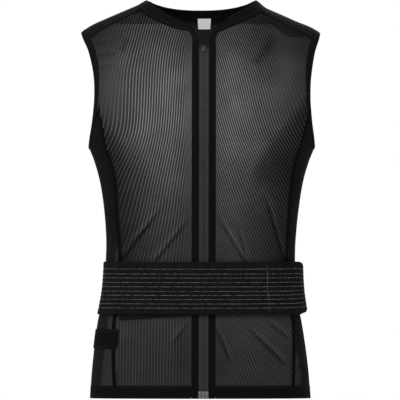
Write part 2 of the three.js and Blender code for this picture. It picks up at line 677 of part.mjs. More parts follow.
const splitRows = (grid) => [
  ...steps(grid.lower, 0, LOWER_SHARE),
  ...steps(grid.upper, LOWER_SHARE, 1).slice(1),
];

function panelHeight(v, corner, top) {
  if (v <= LOWER_SHARE) return mix(PANEL_BOTTOM, corner, v / LOWER_SHARE);
  return mix(corner, top, (v - LOWER_SHARE) / (1 - LOWER_SHARE));
}

function armholeCorner(hand, side) {
  const isSeam = (z) => panelSeam(z, hand, side) < rimAcross(z, side);
  return limitOf(isSeam, RIM_BOTTOM - EPSILON, (RIM_TOP + RIM_BOTTOM) / 2);
}

// The rows of a panel column end where the column meets the panel's top edge.
function columnTop(across, side, hand) {
  return limitOf((z) => z < panelTop(across(z), side, hand), -ARMPIT_DROP, 0);
}

function frontMesh(hand) {
  const widest = panelWidest(hand, FRONT);
  const inside = (z) => hand.sign * zipMiddle(z) + ZIP_HALF + ZIP_BAND_WIDTH + 2 * SEAM_GAP;
  const across = (u, z) => mix(inside(z), Math.min(panelEdge(z, hand, FRONT), widest), u);
  const start = inside(yokeSeam(NECK_HALF, FRONT));
  const corner = (cornerAcross(FRONT) - start) / (widest - start);
  const seamTop = armholeCorner(hand, FRONT);
  const columns = splitColumns(corner, GRID.front);
  const tops = new Map(columns.map((u) => [u, columnTop((z) => across(u, z), FRONT, hand)]));
  return wall({
    chart: overShoulder,
    columns,
    rows: splitRows(GRID.front),
    place: (u, v) => {
      const z = panelHeight(v, seamTop, tops.get(u));
      const x = hand.sign * across(u, z);
      return [x, wayTo(x, z, FRONT)];
    },
    inner: -MESH_WALL / 2,
    outer: MESH_WALL / 2,
  });
}

function backPanel() {
  const hand = HANDS[1];
  const widest = panelWidest(hand, BACK);
  const across = (u, z) => u * Math.min(panelEdge(z, hand, BACK), widest);
  const seamTop = armholeCorner(hand, BACK);
  const half = splitColumns(cornerAcross(BACK) / widest, GRID.back);
  const tops = new Map(half.map((u) => [u, columnTop((z) => across(u, z), BACK, hand)]));
  return wall({
    chart: overShoulder,
    columns: [...half.slice(1).reverse().map((u) => -u), ...half],
    rows: splitRows(GRID.back),
    place: (u, v) => {
      const z = panelHeight(v, seamTop, tops.get(Math.abs(u)));
      const x = Math.sign(u) * across(Math.abs(u), z);
      return [x, wayTo(x, z, BACK)];
    },
    inner: -MESH_WALL / 2,
    outer: MESH_WALL / 2,
  });
}

function sidePanel(hand) {
  const shift = PIPING_WIDTH / 2 + SEAM_GAP;
  const angle = (u, z) => mix(seamAngle(z, hand, FRONT, shift), seamAngle(z, hand, BACK, shift), u);
  const columns = steps(GRID.side.columns);
  const tops = new Map(columns.map((u) => [u, heightAtRim((z) => angle(u, z))]));
  return wall({
    chart: aroundBody,
    columns,
    rows: steps(GRID.side.rows),
    place: (u, v) => {
      const z = mix(PANEL_BOTTOM, tops.get(u), v);
      return [angle(u, z), z];
    },
    inner: -MESH_WALL / 2,
    outer: MESH_WALL / 2,
  });
}

function sidePiping(hand, side) {
  const shift = (u) => mix(-PIPING_WIDTH, PIPING_WIDTH, u) / 2;
  const angle = (u, z) => seamAngle(z, hand, side, shift(u));
  const tops = [0, 1].map((u) => heightAtRim((z) => angle(u, z)));
  return wall({
    chart: aroundBody,
    columns: [0, 1],
    rows: steps(GRID.side.rows),
    place: (u, v) => {
      const z = mix(PANEL_BOTTOM, tops[u], v);
      return [angle(u, z), z];
    },
    inner: -PIPING_INNER,
    outer: PIPING_RISE,
  });
}

// The upper stretch of the armhole's rim in the chart over the shoulder, from front to back.
const RIM_OVER_SHOULDER = NEIGHBOUR_RIM
  .filter((point) => point.y > mix(-SHOULDER_DROP, -ARMPIT_DROP, 0.3))
  .map((point) => {
    const side = point.x <= 0 ? FRONT : BACK;
    const x = acrossAt(point.x, point.y, side);
    return { x, way: wayTo(x, point.y, side) };
  })
  .sort((one, other) => one.way - other.way);

const rimAtWay = (way) => read(RIM_OVER_SHOULDER, 'way', 'x', way);

function yoke(hand) {
  const cornerWay = (side) => side * limitOf((reach) => {
    const x = rimAtWay(side * reach);
    return overShoulder.at(x, side * reach).z > yokeSeam(x, side);
  }, 0, QUARTER);
  const seamEnds = { [FRONT]: cornerWay(FRONT), [BACK]: cornerWay(BACK) };
  const seamWayAt = (u, side) => {
    const x = mix(cornerAcross(side) + SEAM_GAP, rimAtWay(seamEnds[side]), u);
    return wayTo(x, yokeSeam(x, side), side);
  };
  return wall({
    chart: overShoulder,
    columns: steps(GRID.yoke.columns),
    rows: steps(GRID.yoke.rows),
    place: (u, v) => {
      const turn = 1 - 2 * v;
      const side = turn >= 0 ? FRONT : BACK;
      const edge = rimAtWay(Math.abs(turn) * seamEnds[side]);
      const station = SHOULDER_STATION - turn * CORNER_STEP;
      const neck = read(NECK_STATIONS, 'index', 'seamX', station) + CURVED_SEAM_GAP;
      return [hand.sign * mix(neck, edge, u), Math.abs(turn) * seamWayAt(u, side)];
    },
    inner: -YOKE_WALL / 2,
    outer: YOKE_WALL / 2,
  });
}

function neckBand() {
  return wall({
    chart: overShoulder,
    columns: steps(GRID.neck.columns * LAST_STATION, -LAST_STATION, LAST_STATION),
    rows: [0, 1],
    place: (u, v) => neckPlace(LAST_STATION - Math.abs(u), v, u < 0 ? HANDS[0] : HANDS[1]),
    inner: -NECK_BAND_WALL / 2,
    outer: NECK_BAND_WALL / 2,
  });
}

// A strip of cloth folded round the armhole's edge.
function armholeBinding(hand) {
  const rims = [0, 0.5, 1].map((share) => armholeRim(share * BINDING_WIDTH));
  const count = rims[0].length;
  const lengths = [0];
  for (let k = 0; k < count; k += 1) {
    lengths.push(lengths[k] + rims[0][k].distanceTo(rims[0][(k + 1) % count]));
  }
  const sideView = (u, v) => {
    const target = u * lengths[count];
    const k = lengths.findIndex((length) => length > target) - 1;
    const share = (target - lengths[k]) / (lengths[k + 1] - lengths[k]);
    const rim = rims[Math.round(v * 2)];
    return rim[k].clone().lerp(rim[(k + 1) % count], share);
  };
  const split = mix(-SHOULDER_DROP, -ARMPIT_DROP, 0.45);
  return wall({
    columns: steps(GRID.binding.columns).slice(0, -1),
    rows: steps(2),
    loop: true,
    place: (u, v) => {
      const point = sideView(u, v);
      const side = point.x <= 0 ? FRONT : BACK;
      const x = acrossAt(point.x, point.y, side);
      if (point.y > split) return [hand.sign * x, wayTo(x, point.y, side), overShoulder];
      const depth = fullDepth(0, point.y, side);
      const sine = Math.min(Math.abs(point.x) / depth, 1) ** (SQUARENESS / 2);
      const cosine = Math.min(x / bodyHalf(point.y), 1) ** (SQUARENESS / 2);
      const turn = side * Math.atan2(sine, cosine);
      return [hand.sign > 0 ? turn : Math.PI - turn, point.y, aroundBody];
    },
    inner: -BINDING_INNER,
    outer: (u, v) => (v === 0.5 ? BINDING_CROWN : BINDING_EDGE),
  });
}

// A strip beside the zip, between two distances from the zip's middle.
function zipStrip(hand, near, far, bottom, top, inner, outer, columns = [0, 1]) {
  return wall({
    chart: overShoulder,
    columns,
    rows: steps(GRID.zip.rows).map((v) => 1 - (1 - v) ** ZIP_ROW_EASE),
    place: (u, v) => {
      const z = mix(bottom, top, v);
      const x = zipMiddle(z) + hand.sign * mix(near(z), far, u);
      return [x, wayTo(x, z, FRONT)];
    },
    inner,
    outer,
  });
}

function zipBand(hand) {
  const near = () => ZIP_HALF + SEAM_GAP;
  const far = ZIP_HALF + SEAM_GAP + ZIP_BAND_WIDTH;
  const lift = ZIP_BAND_WALL / 2;
  return zipStrip(hand, near, far, -BODY_LENGTH, -ZIP_TOP_DROP, -lift, lift);
}

function zipTape(hand) {
  const open = (z) => mix(ZIP_SLIT / 2, ZIP_OPEN_HALF, smooth(z, -ZIP_CLOSED_DROP, -ZIP_TOP_DROP));
  const lift = ZIP_TAPE_WALL / 2;
  return zipStrip(hand, open, ZIP_HALF, -BODY_LENGTH, -ZIP_TOP_DROP, -lift, lift);
}

function zipCoil() {
  const behind = -ZIP_TAPE_WALL / 2 - LAYER_GAP;
  const bottom = -BODY_LENGTH + END_BOX_LENGTH;
  return zipStrip(HANDS[1], () => -COIL_WIDTH / 2, COIL_WIDTH / 2, bottom, -ZIP_CLOSED_DROP,
    behind - COIL_WALL, behind);
}

function hemBand() {
  const start = (hand, z) => {
    const x = zipMiddle(z) + hand.sign * (ZIP_HALF + ZIP_BAND_WIDTH + 2 * SEAM_GAP);
    return angleAt(hand.sign * x / bodyHalf(z), hand, FRONT);
  };
  return wall({
    chart: aroundBody,
    columns: steps(GRID.hem.columns),
    rows: [0, 1],
    place: (u, v) => {
      const z = mix(-BODY_LENGTH, HEM_TOP, v);
      return [mix(start(HANDS[1], z), start(HANDS[0], z) - 2 * Math.PI, u), z];
    },
    inner: -HEM_WALL / 2,
    outer: HEM_WALL / 2,
  });
}

// Kidney belt: a back part, an under wing from the left and an over wing from the right.
const BELT_MIDDLE = -BELT_DROP - BELT_HEIGHT / 2;
const beltSeam = (hand) => seamAngle(BELT_MIDDLE, hand, BACK, 0);
const BELT_GAP_ANGLE = SEAM_GAP / CHEST_FRONT;
const UNDER_END = angleAt(BELT_UNDER_END / bodyHalf(BELT_MIDDLE), HANDS[0], FRONT);

function beltPiece(from, to, count, lift, sag = () => 0, corner = 0) {
  const length = Math.abs(to - from) * bodyHalf(BELT_MIDDLE);
  const inset = (u) => {
    const left = (1 - u) * length;
    return left < corner ? corner - Math.sqrt(corner ** 2 - (corner - left) ** 2) : 0;
  };
  const cornerSteps = GRID.beltOver.corner.map((share) => 1 - share * corner / length);
  const columns = corner > 0 ? [...steps(count, 0, cornerSteps[0]), ...cornerSteps.slice(1)] : steps(count);
  return wall({
    chart: aroundSmooth,
    columns,
    rows: steps(2),
    place: (u, v) => {
      const angle = mix(from, to, u);
      const trim = inset(u);
      const z = mix(-BELT_DROP - BELT_HEIGHT + trim, -BELT_DROP - trim, v);
      return [angle, z - sag(angle)];
    },
    inner: (u) => BELT_CLEARANCE + lift(mix(from, to, u)),
    outer: (u) => BELT_CLEARANCE + BELT_WALL + lift(mix(from, to, u)),
  });
}

function beltBack() {
  const half = bodyHalf(BELT_MIDDLE);
  const seam = half * Math.cos(beltSeam(HANDS[1])) ** (2 / SQUARENESS);
  const lift = (angle) => {
    const x = half * Math.abs(Math.cos(angle)) ** (2 / SQUARENESS);
    return (PAD_THICKNESS + PAD_GAP) * smooth(-x, -seam * BELT_PAD_FAR, -seam * BELT_PAD_NEAR);
  };
  const from = beltSeam(HANDS[1]) - BELT_GAP_ANGLE;
  return beltPiece(from, beltSeam(HANDS[0]) - 2 * Math.PI + BELT_GAP_ANGLE,
    GRID.beltBack.columns, lift);
}

function beltUnderWing() {
  const sag = (angle) => {
    const x = -bodyHalf(BELT_MIDDLE) * power(Math.cos(angle));
    return BELT_UNDER_SAG * clamp((x + BELT_START) / (BELT_UNDER_END + BELT_START), 0, 1);
  };
  return beltPiece(beltSeam(HANDS[1]), UNDER_END, GRID.beltUnder.columns, () => 0, sag);
}

function beltOverWing() {
  const onUnderWing = BELT_WALL + LAYER_GAP + SEAM_GAP;
  const lift = (angle) => {
    const steppedUp = 1 - smooth(angle, UNDER_END + BELT_STEP_NEAR, UNDER_END + BELT_STEP_FAR);
    const standsOff = smooth(-angle, -BELT_END_ANGLE - BELT_END_EASE, -BELT_END_ANGLE);
    return onUnderWing * steppedUp + BELT_END_LIFT * standsOff;
  };
  return beltPiece(beltSeam(HANDS[0]), BELT_END_ANGLE, GRID.beltOver.columns, lift, () => 0,
    BELT_CORNER);
}

// The protector is thin along its outline and thinner in the grooves across it, where it bends.
function protector() {
  const pitch = PAD_LENGTH / (PAD_GROOVES + 1);
  const half = (v) => PAD_HALF * read(PAD_OUTLINE, 'down', 'half', v);
  const rows = [...PAD_END_ROWS];
  for (let k = 1; k <= PAD_GROOVES; k += 1) {
    for (const shift of [-1, 0, 1]) rows.push((k * pitch + shift * PAD_GROOVE_WIDTH / 2) / PAD_LENGTH);
    if (k < PAD_GROOVES) rows.push((k + 0.5) * pitch / PAD_LENGTH);
  }
  rows.push(...PAD_END_ROWS.slice(0, -1).reverse().map((share) => 1 - share));
  const thickness = (u, v) => {
    const toEdge = Math.min((1 - Math.abs(u)) * half(v), v * PAD_LENGTH, (1 - v) * PAD_LENGTH);
    const crown = mix(PAD_EDGE, PAD_THICKNESS, smooth(toEdge, 0, PAD_EDGE_BREADTH));
    const along = v * PAD_LENGTH;
    const groove = clamp(Math.round(along / pitch), 1, PAD_GROOVES) * pitch;
    const cut = Math.abs(along - groove) < PAD_GROOVE_WIDTH / 4 ? 1 : 0;
    return crown - PAD_GROOVE_DEPTH * cut * smooth(toEdge, 0, PAD_GROOVE_FADE);
  };
  return wall({
    chart: overShoulder,
    columns: PAD_COLUMNS,
    rows,
    place: (u, v) => {
      const x = u * half(v);
      return [x, wayTo(x, -PAD_TOP_DROP - v * PAD_LENGTH, BACK)];
    },
    inner: MESH_WALL / 2 + PAD_GAP,
    outer: (u, v) => MESH_WALL / 2 + PAD_GAP + thickness(u, v),
  });
}

function neckLabel() {
  const behind = -NECK_BAND_WALL / 2 - SEAM_GAP;
  return wall({
    chart: overShoulder,
    columns: steps(GRID.label.columns),
    rows: steps(GRID.label.rows),
    place: (u, v) => {
      const x = ZIP_SHIFT + (u - 0.5) * LABEL_WIDTH;
      return [x, wayTo(x, -LABEL_DROP - (1 - v) * LABEL_HEIGHT, BACK)];
    },
    inner: behind - LABEL_WALL,
    outer: behind,
  });
}

function sidePatch() {
  const hand = HANDS[0];
  const middle = -PATCH_DROP - PATCH_HEIGHT / 2;
  const from = seamAngle(middle, hand, FRONT, -PIPING_WIDTH / 2 - PATCH_LAP);
  const lift = PIPING_RISE + SEAM_GAP;
  return wall({
    chart: aroundBody,
    columns: steps(GRID.patch.columns),
    rows: steps(GRID.patch.rows),
    place: (u, v) => [mix(from, Math.PI + PATCH_TURN, u), -PATCH_DROP - (1 - v) * PATCH_HEIGHT],
    inner: lift,
    outer: lift + PATCH_WALL,
  });
}

// Solids that are joined from simple shapes, each resting on the front at the zip's middle.
function solidOf(geometry) {
  geometry.deleteAttribute('normal');
  geometry.deleteAttribute('uv');
  const merged = mergeVertices(geometry.index ? geometry.toNonIndexed() : geometry, 1e-4);
  return new wasm.Manifold(new wasm.Mesh({
    numProp: 3,
    vertProperties: new Float32Array(merged.attributes.position.array),
    triVerts: new Uint32Array(merged.index.array),
  }));
}

function joined(shapes) {
  const mesh = shapes.map(solidOf).reduce((whole, solid) => whole.add(solid)).getMesh();
  const geometry = new THREE.BufferGeometry();
  geometry.setAttribute('position', new THREE.Float32BufferAttribute(mesh.vertProperties, 3));
  geometry.setIndex(Array.from(mesh.triVerts));
  geometry.computeVertexNormals();
  return geometry;
}

function roundedPlate(width, length, height, corner) {
  const shape = new THREE.Shape();
  const x = width / 2 - corner;
  const y = length / 2 - corner;
  shape.absarc(x, y, corner, 0, Math.PI / 2, false);
  shape.absarc(-x, y, corner, Math.PI / 2, Math.PI, false);
  shape.absarc(-x, -y, corner, Math.PI, Math.PI * 1.5, false);
  shape.absarc(x, -y, corner, Math.PI * 1.5, Math.PI * 2, false);
  return new THREE.ExtrudeGeometry(shape, { depth: height, bevelEnabled: false, curveSegments: 3 });
}

function onFront(geometry, z, height) {
  const x = zipMiddle(z);
  const way = wayTo(x, z, FRONT);
  const place = raised(overShoulder, x, way, height);
  const out = raised(overShoulder, x, way, height + 1).sub(place).normalize();
  const across = new THREE.Vector3(0, 0, 1).cross(out).normalize();
  const up = out.clone().cross(across);
  const frame = new THREE.Matrix4().makeBasis(across, up, out).setPosition(place);
  return geometry.applyMatrix4(frame);
}

function zipSlider() {
  const base = roundedPlate(SLIDER_WIDTH, SLIDER_LENGTH, SLIDER_PLATE, SLIDER_CORNER);
  const bridge = roundedPlate(BRIDGE_WIDTH, BRIDGE_LENGTH, SLIDER_PLATE, BRIDGE_CORNER);
  bridge.translate(0, 0, SLIDER_PLATE - BRIDGE_SINK);
  return onFront(joined([base, bridge]), SLIDER_RISE - ZIP_CLOSED_DROP, ZIP_TAPE_WALL / 2 + LAYER_GAP);
}

// The zip's bottom end: two lobes on a plate, and a ring between them.
function zipEndBox() {
  const plate = roundedPlate(END_BOX_WIDTH, END_BOX_LENGTH, END_BOX_PLATE, END_BOX_CORNER);
  const lobes = HANDS.map(({ sign }) => {
    const lobe = roundedPlate(LOBE_WIDTH, LOBE_LENGTH, LOBE_HEIGHT, LOBE_CORNER);
    return lobe.translate(sign * LOBE_OFFSET, 0, 0);
  });
  const ring = new THREE.TorusGeometry(RING_RADIUS, RING_WIRE, 5, 10);
  ring.translate(0, -RING_DROP, END_BOX_PLATE + RING_WIRE / 2);
  const middle = END_BOX_LENGTH / 2 - BODY_LENGTH;
  const lift = ZIP_BAND_WALL / 2 + LAYER_GAP;
  return onFront(joined([plate, ...lobes, ring]), middle, lift);
}

const finish = (color, roughness, metalness = 0) => ({ color, roughness, metalness });
const FINISHES = {
  mesh: finish(0x4a4a4a, 0.75),
  smoothCloth: finish(0x1e1e1e, 0.7),
  binding: finish(0x141414, 0.65),
  tape: finish(0x303030, 0.7),
  elastic: finish(0x181818, 0.8),
  pad: finish(0x1c1c1c, 0.7),
  plastic: finish(0x0c0c0c, 0.4),
  metal: finish(0x85857e, 0.35, 0.9),
  label: finish(0xf0f0f0, 0.6),
};

const group = new THREE.Group();

function add(name, geometry, look) {
  const mesh = new THREE.Mesh(geometry, new THREE.MeshStandardMaterial(FINISHES[look]));
  mesh.name = name;
  group.add(mesh);
}

for (const hand of HANDS) {
  add(`front_mesh_${hand.name}`, frontMesh(hand), 'mesh');
  add(`side_panel_${hand.name}`, sidePanel(hand), 'mesh');
  add(`front_seam_${hand.name}`, sidePiping(hand, FRONT), 'binding');
  add(`back_seam_${hand.name}`, sidePiping(hand, BACK), 'binding');
  add(`shoulder_yoke_${hand.name}`, yoke(hand), 'smoothCloth');
  add(`armhole_binding_${hand.name}`, armholeBinding(hand), 'binding');
  add(`zip_band_${hand.name}`, zipBand(hand), 'smoothCloth');
  add(`zip_tape_${hand.name}`, zipTape(hand), 'tape');
}
add('back_panel', backPanel(), 'mesh');
add('neck_band', neckBand(), 'smoothCloth');
add('hem_band', hemBand(), 'smoothCloth');
add('zip_coil', zipCoil(), 'plastic');
add('zip_slider', zipSlider(), 'plastic');
add('zip_end_box', zipEndBox(), 'metal');
add('back_protector', protector(), 'pad');
add('belt_back', beltBack(), 'elastic');
add('belt_under_wing', beltUnderWing(), 'elastic');
add('belt_over_wing', beltOverWing(), 'elastic');
add('neck_label', neckLabel(), 'label');
add('side_patch', sidePatch(), 'smoothCloth');

export default group;
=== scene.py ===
# %% [markdown]
# # A back protector vest in Blender
# The real vest is a sleeveless shirt of ribbed mesh with a zip, a foam protector on its back and
# a wide elastic belt that closes over the front. It is shown as worn, hanging from its shoulders.
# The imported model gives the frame: its box, its nodes and the one body that all pieces ride on.
# Every cloth piece below lies on one curved surface, the body form, so the pieces meet as sewn
# ones do, and each piece takes the place of the plain solid with the same name.

# %% Load the frame
import math
import bpy
import numpy as np
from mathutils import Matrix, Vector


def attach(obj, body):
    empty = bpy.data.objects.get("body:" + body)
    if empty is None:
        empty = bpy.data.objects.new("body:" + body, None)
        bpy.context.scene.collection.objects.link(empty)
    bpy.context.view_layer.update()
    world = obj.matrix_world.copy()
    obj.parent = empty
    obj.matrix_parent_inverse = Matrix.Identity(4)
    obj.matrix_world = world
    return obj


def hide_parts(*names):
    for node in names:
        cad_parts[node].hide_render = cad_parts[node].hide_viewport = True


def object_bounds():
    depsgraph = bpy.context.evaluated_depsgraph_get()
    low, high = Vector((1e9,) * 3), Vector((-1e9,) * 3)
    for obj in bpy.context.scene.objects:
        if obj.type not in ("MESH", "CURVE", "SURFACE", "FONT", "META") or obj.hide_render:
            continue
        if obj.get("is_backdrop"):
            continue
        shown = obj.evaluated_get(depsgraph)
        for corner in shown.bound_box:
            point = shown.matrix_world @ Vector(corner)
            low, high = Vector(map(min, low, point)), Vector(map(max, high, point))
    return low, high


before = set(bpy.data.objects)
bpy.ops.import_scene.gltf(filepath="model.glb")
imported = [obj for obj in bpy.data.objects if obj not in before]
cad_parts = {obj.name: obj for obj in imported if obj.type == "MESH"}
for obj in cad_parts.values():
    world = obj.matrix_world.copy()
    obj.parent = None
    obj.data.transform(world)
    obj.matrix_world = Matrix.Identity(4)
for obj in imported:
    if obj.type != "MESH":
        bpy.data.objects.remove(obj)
cad_box = [list(corner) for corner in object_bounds()]
MM = 0.001
FRONT, BACK = 1, -1
print("box of the packed model", cad_box)

# %% [markdown]
# ## The body form
# A worn garment could be draped over a figure by simulation, but then its outline would drift
# from the one seen in the photograph. Here short tables give the outline from the front and the
# depth from the side, and a smooth curve is drawn through their rows. Sizes are millimetres.

# %% Sizes of the body form
BODY_LENGTH, ARMPIT_DROP, SHOULDER_DROP = 680, 248, 56
NECK_HALF, SHOULDER_HALF, CHEST_HALF = 92, 204, 192.5
CHEST_FRONT, CHEST_BACK, SQUARENESS = 125, 122, 2.3
SHOULDER_ROUND, NECK_RISE, TIP_SHARE, TIP_POWER = 70, 0.6, 0.14, 8
ARMHOLE_HOLLOW, ARMHOLE_WRAP = 14.5, 30
SLACK_LEFT, SLACK_RIGHT, SLACK_FULL = 5.8, 1.8, 113
SLACK_EASE, SLACK_GONE, SLACK_DEPTH = (160, 200), 0.65, (-130, -40)
BODY = dict(
    level=[-0.2, 0.00, 0.20, 0.35, 0.50, 0.70, 0.90, 1.00, 1.06, 1.14, 1.25, 1.37, 1.455, 1.56,
           1.64, 1.70, 1.80, 1.90, 2.00],
    half=[1, 1, 1, 1, 1, 1, 1, 1, 0.952, 0.901, 0.862, 0.839, 0.838, 0.850, 0.876, 0.904, 0.936,
          0.961, 0.976],
    front=[0.48, 0.50, 0.61, 0.70, 0.825, 0.945, 0.992, 1.0, 0.992, 0.968, 0.912, 0.856, 0.832,
           0.824, 0.830, 0.848, 0.872, 0.888, 0.896],
    back=[0.50, 0.56, 0.74, 0.87, 0.96, 1.0, 0.99, 0.975, 0.955, 0.918, 0.845, 0.770, 0.745, 0.760,
          0.800, 0.845, 0.920, 0.975, 1.0],
    sway=[0, 0, -0.006, 0.004, 0.010, 0.009, 0.006, 0.004, 0.003, 0.002, 0.001, -0.003, -0.008,
          -0.011, -0.014, -0.015, -0.012, -0.010, -0.009],
)
ARMHOLE = dict(
    down=[0, 0.06, 0.15, 0.28, 0.42, 0.58, 0.70, 0.82, 0.93, 1],
    hollow=[0, 0.19, 0.58, 0.86, 1.0, 0.92, 0.72, 0.46, 0.16, 0],
    wrap=[0.97, 0.98, 1.0, 0.96, 0.90, 0.80, 0.64, 0.38, 0.15, 0],
)


def read(table, column, at):
    """The value of a table's column at a place along its first column, on a smooth curve."""
    keys = np.array(next(iter(table.values())), float)
    values = np.array(table[column], float)
    ahead = np.minimum(np.arange(len(keys)) + 1, len(keys) - 1)
    behind = np.maximum(np.arange(len(keys)) - 1, 0)
    slopes = (values[ahead] - values[behind]) / (keys[ahead] - keys[behind])
    at = np.clip(at, keys[0], keys[-1])
    i = np.clip(np.searchsorted(keys, at, side="right") - 1, 0, len(keys) - 2)
    span = keys[i + 1] - keys[i]
    t = (at - keys[i]) / span
    rise = values[i + 1] - values[i]
    near, far = slopes[i] * span, slopes[i + 1] * span
    bend, twist = 3 * rise - 2 * near - far, near + far - 2 * rise
    return values[i] + t * near + t**2 * bend + t**3 * twist


def smooth(value, low, high):
    t = np.clip((value - low) / (high - low), 0, 1)
    return t * t * (3 - 2 * t)


def mix(a, b, t):
    return a + (b - a) * t


def level_of(z):
    below = 1 + (-z - ARMPIT_DROP) / (BODY_LENGTH - ARMPIT_DROP)
    return np.where(-z < ARMPIT_DROP, -z / ARMPIT_DROP, below)


def down_armhole(z):
    return np.clip((-z - SHOULDER_DROP) / (ARMPIT_DROP - SHOULDER_DROP), 0, 1)


def armhole_edge(z):
    down = down_armhole(z)
    return mix(SHOULDER_HALF, CHEST_HALF, down) - ARMHOLE_HOLLOW * read(ARMHOLE, "hollow", down)


def body_half(z):
    wrapped = armhole_edge(z) + ARMHOLE_WRAP * read(ARMHOLE, "wrap", down_armhole(z))
    return np.where(-z > ARMPIT_DROP, CHEST_HALF * read(BODY, "half", level_of(z)), wrapped)


def shoulder_line(x):
    out = np.minimum((np.abs(x) - NECK_HALF) / (SHOULDER_HALF - NECK_HALF), 1)
    fall = -SHOULDER_DROP * mix(out, np.abs(out) ** TIP_POWER, TIP_SHARE)
    return np.where(out < 0, (NECK_HALF - np.abs(x)) * NECK_RISE, fall)


print("waist is", round(float(2 * body_half(np.array(-440.0)))), "mm wide")

# %% [markdown]
# Cloth that hangs over a belt is drawn into folds. On this vest they run from the middle of each
# front panel down and outwards to the belt, and a few short creases cross the armhole's edge.
# Simulated folds fall where they like, so each fold is one row of a table: where it starts and
# ends, and how deep it is. Its section is a ridge with a valley on each side.

# %% Folds of the front
BELT_DROP, BELT_HEIGHT = 446.5, 90.5
FOLD_DEPTH, FOLD_BREADTH, FOLD_FADE = 3.6, 9, 14
# Each row says where a fold starts and ends, across as a share of CHEST_HALF and down as a share
# of BODY_LENGTH, and then its depth and its breadth.
FOLDS = [
    (-0.37, 0.515, -0.71, 0.645, 1.0, 1.0), (-0.13, 0.545, -0.43, 0.655, 0.9, 1.0),
    (0.15, 0.533, 0.42, 0.656, 0.9, 0.8), (0.57, 0.475, 0.76, 0.648, 1.0, 1.0),
    (0.66, 0.080, 0.46, 0.150, 0.6, 3.6), (-0.66, 0.085, -0.73, 0.122, 0.5, 1.8),
    (-0.11, 0.800, -0.24, 0.850, 0.7, 0.8),
    (-0.45, 0.553, -0.63, 0.603, 0.5, 0.7), (0.35, 0.570, 0.44, 0.655, 0.6, 0.7),
    (0.14, 0.805, 0.28, 0.895, 0.8, 0.9), (0.44, 0.815, 0.74, 0.900, 1.0, 1.1),
    (0.60, 0.795, 0.78, 0.838, 0.8, 0.8), (-0.97, 0.103, -0.80, 0.095, 0.5, 0.5),
    (-0.96, 0.133, -0.78, 0.126, 0.5, 0.5), (-0.94, 0.162, -0.80, 0.157, 0.4, 0.5),
]


def fold_lines():
    """Where each fold starts, how far it runs across and up, its depth and its breadth."""
    for start_x, start_z, end_x, end_z, depth, breadth in FOLDS:
        x0, z0 = start_x * CHEST_HALF, -start_z * BODY_LENGTH
        yield x0, z0, end_x * CHEST_HALF - x0, -end_z * BODY_LENGTH - z0, depth, breadth


def fold_rise(x, z):
    from_belt = np.maximum(np.maximum(z + BELT_DROP, -BELT_DROP - BELT_HEIGHT - z), 0)
    rise = np.zeros(np.broadcast(x, z).shape)
    for x0, z0, dx, dz, depth, breadth in fold_lines():
        along = np.clip(((x - x0) * dx + (z - z0) * dz) / (dx * dx + dz * dz), 0, 1)
        reach = np.hypot(x - x0 - along * dx, z - z0 - along * dz) / (FOLD_BREADTH * breadth)
        rise += depth * mix(0.35, 1, along) * np.cos(reach * 1.9) * np.exp(-reach * reach)
    return rise * FOLD_DEPTH * smooth(from_belt, 0, FOLD_FADE)


# Each fold gets painted shade in a line beside it and a painted highlight on its ridge.
FOLD_SHADE_OFFSET, FOLD_SHADE_WIDTH, RIDGE_WIDTH, WIDE_FOLD = 5, 2.6, 4, 1.5


def fold_shading(x, z):
    """Painted shade along each fold: 1 in the dark line beside it, and less than 0 for a painted
    highlight on its ridge.
    """
    found = np.zeros(np.broadcast(x, z).shape)
    for x0, z0, dx, dz, depth, breadth in fold_lines():
        long = math.hypot(dx, dz)
        along = ((x - x0) * dx + (z - z0) * dz) / long**2
        apart = ((x - x0) * dz - (z - z0) * dx) / long * np.sign(dx)
        ends = smooth(along, -0.05, 0.35) * (1 - smooth(along, 1.0, 1.15))
        dark = np.exp(-(((apart - FOLD_SHADE_OFFSET) / (FOLD_SHADE_WIDTH * max(breadth, 0.8))) ** 2))
        ridge = np.exp(-((apart / RIDGE_WIDTH) ** 2)) * (0.5 if breadth < WIDE_FOLD else 0)
        found += depth * ends * (dark - ridge)
    return found


print(len(FOLDS), "folds")

# %% [markdown]
# Points of the body form are reached in three ways: by a place seen from the front or the back,
# by the way down from the shoulder line, and by an angle around the body. The first is simple,
# the second stays even over the shoulders, and the third around the sides.

# %% Three ways to a point
QUARTER = SHOULDER_ROUND * math.pi / 2


def full_depth(x, z, side):
    depth = CHEST_FRONT * read(BODY, "front", level_of(z)) if side == FRONT else \
        CHEST_BACK * read(BODY, "back", level_of(z))
    across = np.minimum(np.abs(x) / body_half(z), 1)
    return depth * (1 - across**SQUARENESS) ** (1 / SQUARENESS)


def shoulder_cap(x, z):
    drop = np.clip((shoulder_line(x) - z) / SHOULDER_ROUND, 0, 1)
    return np.sqrt(1 - (1 - drop) ** 2)


def depth_at(x, z, side):
    return full_depth(x, z, side) * shoulder_cap(x, z)


def seen_from(side, x, z, folds=True):
    x, z = np.broadcast_arrays(np.asarray(x, float), np.asarray(z, float))
    depth = depth_at(x, z, side)
    if side == FRONT and folds:
        depth = depth + fold_rise(x, z)
    return np.stack([x, -side * depth, z], axis=-1)


def over_shoulder(x, way):
    reach = np.abs(way)
    angle = np.minimum(reach, QUARTER) / SHOULDER_ROUND
    z = shoulder_line(x) - SHOULDER_ROUND * (1 - np.cos(angle)) - np.maximum(reach - QUARTER, 0)
    front = full_depth(x, z, FRONT) * np.sin(angle)
    back = full_depth(x, z, BACK) * np.sin(angle)
    return np.stack([x + 0 * z, np.where(way >= 0, -front - fold_rise(x, z), back), z], axis=-1)


def way_to(x, z, side):
    drop = np.maximum(shoulder_line(x) - z, 0)
    turn = np.arccos(1 - np.minimum(drop, SHOULDER_ROUND) / SHOULDER_ROUND)
    return side * (turn * SHOULDER_ROUND + np.maximum(drop - SHOULDER_ROUND, 0))


def power(value):
    return np.sign(value) * np.abs(value) ** (2 / SQUARENESS)


